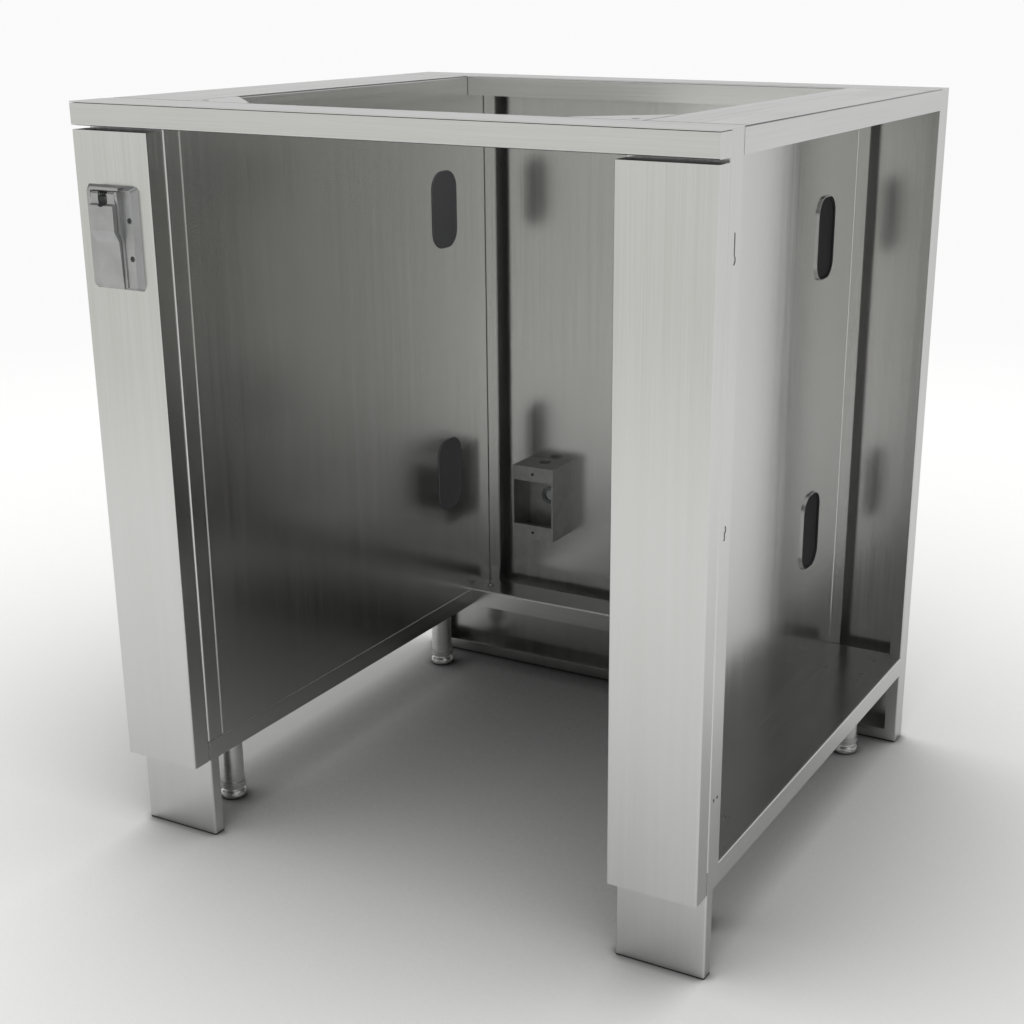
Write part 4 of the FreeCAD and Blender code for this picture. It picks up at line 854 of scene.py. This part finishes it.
# Studio
@dataclass
class Studio:
    """Pale floor, soft light and the camera.

    The floor is matt near the object and plain white beyond fade_end. For a mirror, its front part takes the
    tone of front_colour beyond front_end. Its colour carries painted shade from two ambient occlusions, which
    falls off over shade_reach, and right beside a piece over contact_reach. The walls of the room go from
    white_level to upper_wall over wall_fade, which is a height on the unit sphere, and the softbox starts
    over softbox_fade. Lengths are in metres.
    """

    floor_reach: float = 14.0
    floor_steps: int = 9
    floor_colour: str = "#F4F4F3"
    fade_start: float = 1.6
    fade_end: float = 3.4
    shade_reach: float = 3.0
    contact_reach: float = 12.0 * MM
    white_level: float = 0.96
    upper_wall: float = 0.2
    wall_fade: tuple[float, float] = (0.12, 0.38)
    softbox_level: float = 0.85
    softbox_fade: tuple[float, float] = (0.6, 0.85)
    dome_level: float = 1.16
    front_colour: str = "#F1F1EC"
    front_start: float = -1.2
    front_end: float = -2.0
    camera_place: tuple[float, float, float] = (0.96096, -1.36115, 0.99724)
    camera_right: tuple[float, float, float] = (0.8802854, 0.47444134, 0.0017404)
    camera_down: tuple[float, float, float] = (0.1561897, -0.28632894, -0.94531503)
    camera_ahead: tuple[float, float, float] = (-0.44799821, 0.83241885, -0.32615404)
    lens: float = 57.83
    sensor: float = 36.0
    shift: tuple[float, float] = (-0.0524, 0.0377)

    def build(self) -> None:
        """Lays the floor, lights the room and sets up the camera."""
        self.floor()
        self.room()
        self.camera()

    def sight(self, tree: bpy.types.NodeTree) -> tuple[bpy.types.NodeSocket, bpy.types.NodeSocket]:
        """Sorts what is looked at from what lights a surface.

        Args:
            tree: node tree that asks.

        Returns:
            1 on the way of the camera, of a mirror or of glass and 0 for light on a matt surface; and 1 until
            that way has met a matt surface, after which a mirror throws no white back on it.
        """
        path = add(tree, "ShaderNodeLightPath")
        mirror = add(tree, "ShaderNodeMath", {"operation": "MAXIMUM"},
                     {0: path.outputs["Is Camera Ray"], 1: path.outputs["Is Glossy Ray"]})
        glass = add(tree, "ShaderNodeMath", {"operation": "MAXIMUM"},
                    {0: mirror.outputs["Value"], 1: path.outputs["Is Transmission Ray"]})
        first = add(tree, "ShaderNodeMath", {"operation": "SUBTRACT", "use_clamp": True, 0: 1.0},
                    {1: path.outputs["Diffuse Depth"]})
        return glass.outputs["Value"], first.outputs["Value"]

    def floor(self) -> None:
        """Flat grid at height 0: a pale matt floor that keeps the shadow, is darkened further by painted
        shade from two ambient occlusions, and turns white farther out.
        """
        across = np.linspace(-self.floor_reach, self.floor_reach, self.floor_steps)
        x, y = np.meshgrid(across, across, indexing="ij")
        grid = Grid(np.stack([x, y, np.zeros_like(x)], axis=-1))
        mesh = bpy.data.meshes.new("studio_floor")
        mesh.from_pydata(grid.points.reshape(-1, 3).tolist(), [], grid.faces().tolist())
        made = bpy.data.objects.new("studio_floor", mesh)
        bpy.context.scene.collection.objects.link(made)
        paint = bpy.data.materials.new("matt_studio_paint")
        paint.use_nodes = True
        tree = paint.node_tree
        tree.nodes.clear()
        place = add(tree, "ShaderNodeTexCoord").outputs["Object"]
        distance = add(tree, "ShaderNodeVectorMath", {"operation": "LENGTH"}, {0: place}).outputs["Value"]
        far = add(tree, "ShaderNodeMapRange",
                  {"interpolation_type": "SMOOTHSTEP", "From Min": self.fade_start,
                   "From Max": self.fade_end}, {"Value": distance}).outputs["Result"]
        looked_at, first = self.sight(tree)
        white_far = add(tree, "ShaderNodeMath", {"operation": "MULTIPLY"}, {0: far, 1: looked_at})
        share = add(tree, "ShaderNodeMath", {"operation": "MULTIPLY"},
                    {0: white_far.outputs["Value"], 1: first})
        # Painted shade: the floor colour is darkened by ambient occlusion right beside the pieces and over
        # the shade reach, on top of the light that really falls on it.
        painted_contact_shade = add(tree, "ShaderNodeAmbientOcclusion",
                      {"Color": linear(self.floor_colour), "Distance": self.contact_reach}).outputs["Color"]
        shade = add(tree, "ShaderNodeAmbientOcclusion", {"Distance": self.shade_reach},
                    {"Color": painted_contact_shade}).outputs["Color"]
        matt = add(tree, "ShaderNodeBsdfDiffuse", {}, {"Color": shade})
        ahead = add(tree, "ShaderNodeSeparateXYZ", {}, {"Vector": place}).outputs["Y"]
        front = add(tree, "ShaderNodeMapRange",
                    {"interpolation_type": "SMOOTHSTEP", "From Min": self.front_start,
                     "From Max": self.front_end}, {"Value": ahead}).outputs["Result"]
        in_mirror = add(tree, "ShaderNodeLightPath").outputs["Is Glossy Ray"]
        mirrored = add(tree, "ShaderNodeMath", {"operation": "MULTIPLY"},
                       {0: front, 1: in_mirror}).outputs["Value"]
        tone = add(tree, "ShaderNodeMix",
                   {"data_type": "RGBA", MIX_A: WHITE, MIX_B: linear(self.front_colour)},
                   {0: mirrored}).outputs[MIXED]
        white = add(tree, "ShaderNodeEmission", {"Strength": self.white_level}, {"Color": tone})
        both = add(tree, "ShaderNodeMixShader", {},
                   {0: share.outputs["Value"], 1: matt.outputs["BSDF"], 2: white.outputs["Emission"]})
        add(tree, "ShaderNodeOutputMaterial", {}, {"Surface": both.outputs["Shader"]})
        paint.cycles.emission_sampling = "NONE"
        mesh.materials.append(paint)

    def room(self) -> None:
        """White walls, grey higher up, a broad softbox above, and even light on matt surfaces."""
        world = bpy.data.worlds.new("white_room")
        world.use_nodes = True
        tree = world.node_tree
        tree.nodes.clear()
        looked_at, first = self.sight(tree)
        place = add(tree, "ShaderNodeTexCoord").outputs["Generated"]
        height = add(tree, "ShaderNodeSeparateXYZ", {}, {"Vector": place}).outputs["Z"]
        wall = add(tree, "ShaderNodeMapRange",
                   {"interpolation_type": "SMOOTHSTEP", "From Min": self.wall_fade[0],
                    "From Max": self.wall_fade[1], "To Min": self.white_level, "To Max": self.upper_wall},
                   {"Value": height}).outputs["Result"]
        softbox = add(tree, "ShaderNodeMapRange",
                      {"interpolation_type": "SMOOTHSTEP", "From Min": self.softbox_fade[0],
                       "From Max": self.softbox_fade[1], "To Max": self.softbox_level},
                      {"Value": height}).outputs["Result"]
        level = add(tree, "ShaderNodeMath", {"operation": "MAXIMUM"}, {0: wall, 1: softbox}).outputs["Value"]
        shown = add(tree, "ShaderNodeMath", {"operation": "MULTIPLY"}, {0: level, 1: first})
        light = add(tree, "ShaderNodeBackground", {"Color": WHITE, "Strength": self.dome_level})
        white = add(tree, "ShaderNodeBackground", {"Color": WHITE}, {"Strength": shown.outputs["Value"]})
        both = add(tree, "ShaderNodeMixShader", {},
                   {0: looked_at, 1: light.outputs["Background"], 2: white.outputs["Background"]})
        add(tree, "ShaderNodeOutputWorld", {}, {"Surface": both.outputs["Shader"]})
        bpy.context.scene.world = world

    def camera(self) -> None:
        """Camera at the photograph's place, measured from the front of the apron."""
        lens = bpy.data.cameras.new("camera")
        lens.lens = self.lens
        lens.sensor_width = self.sensor
        lens.shift_x, lens.shift_y = self.shift
        made = bpy.data.objects.new("camera", lens)
        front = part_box("front_apron")[0].y
        turn = Matrix((self.camera_right, -Vector(self.camera_down), -Vector(self.camera_ahead))).transposed()
        place = Vector(self.camera_place) + Vector((0.0, front, 0.0))
        made.matrix_world = Matrix.Translation(place) @ turn.to_4x4()
        bpy.context.scene.collection.objects.link(made)
        bpy.context.scene.camera = made


def main() -> None:
    """Builds and dresses the cabinet, then the studio."""
    logging.basicConfig(level=logging.INFO, format="%(message)s")
    bpy.context.scene.view_settings.view_transform = "Standard"
    for part in (TopFrame(), FrontPosts(), Base(), BayWalls(), LevellingLegs(), WeatherOutlet(),
                 JunctionBox()):
        LOG.info("%s", type(part).__name__)
        if hasattr(part, "build"):
            part.build()
        part.dress()
    Studio().build()


if __name__ == "__main__":
    main()
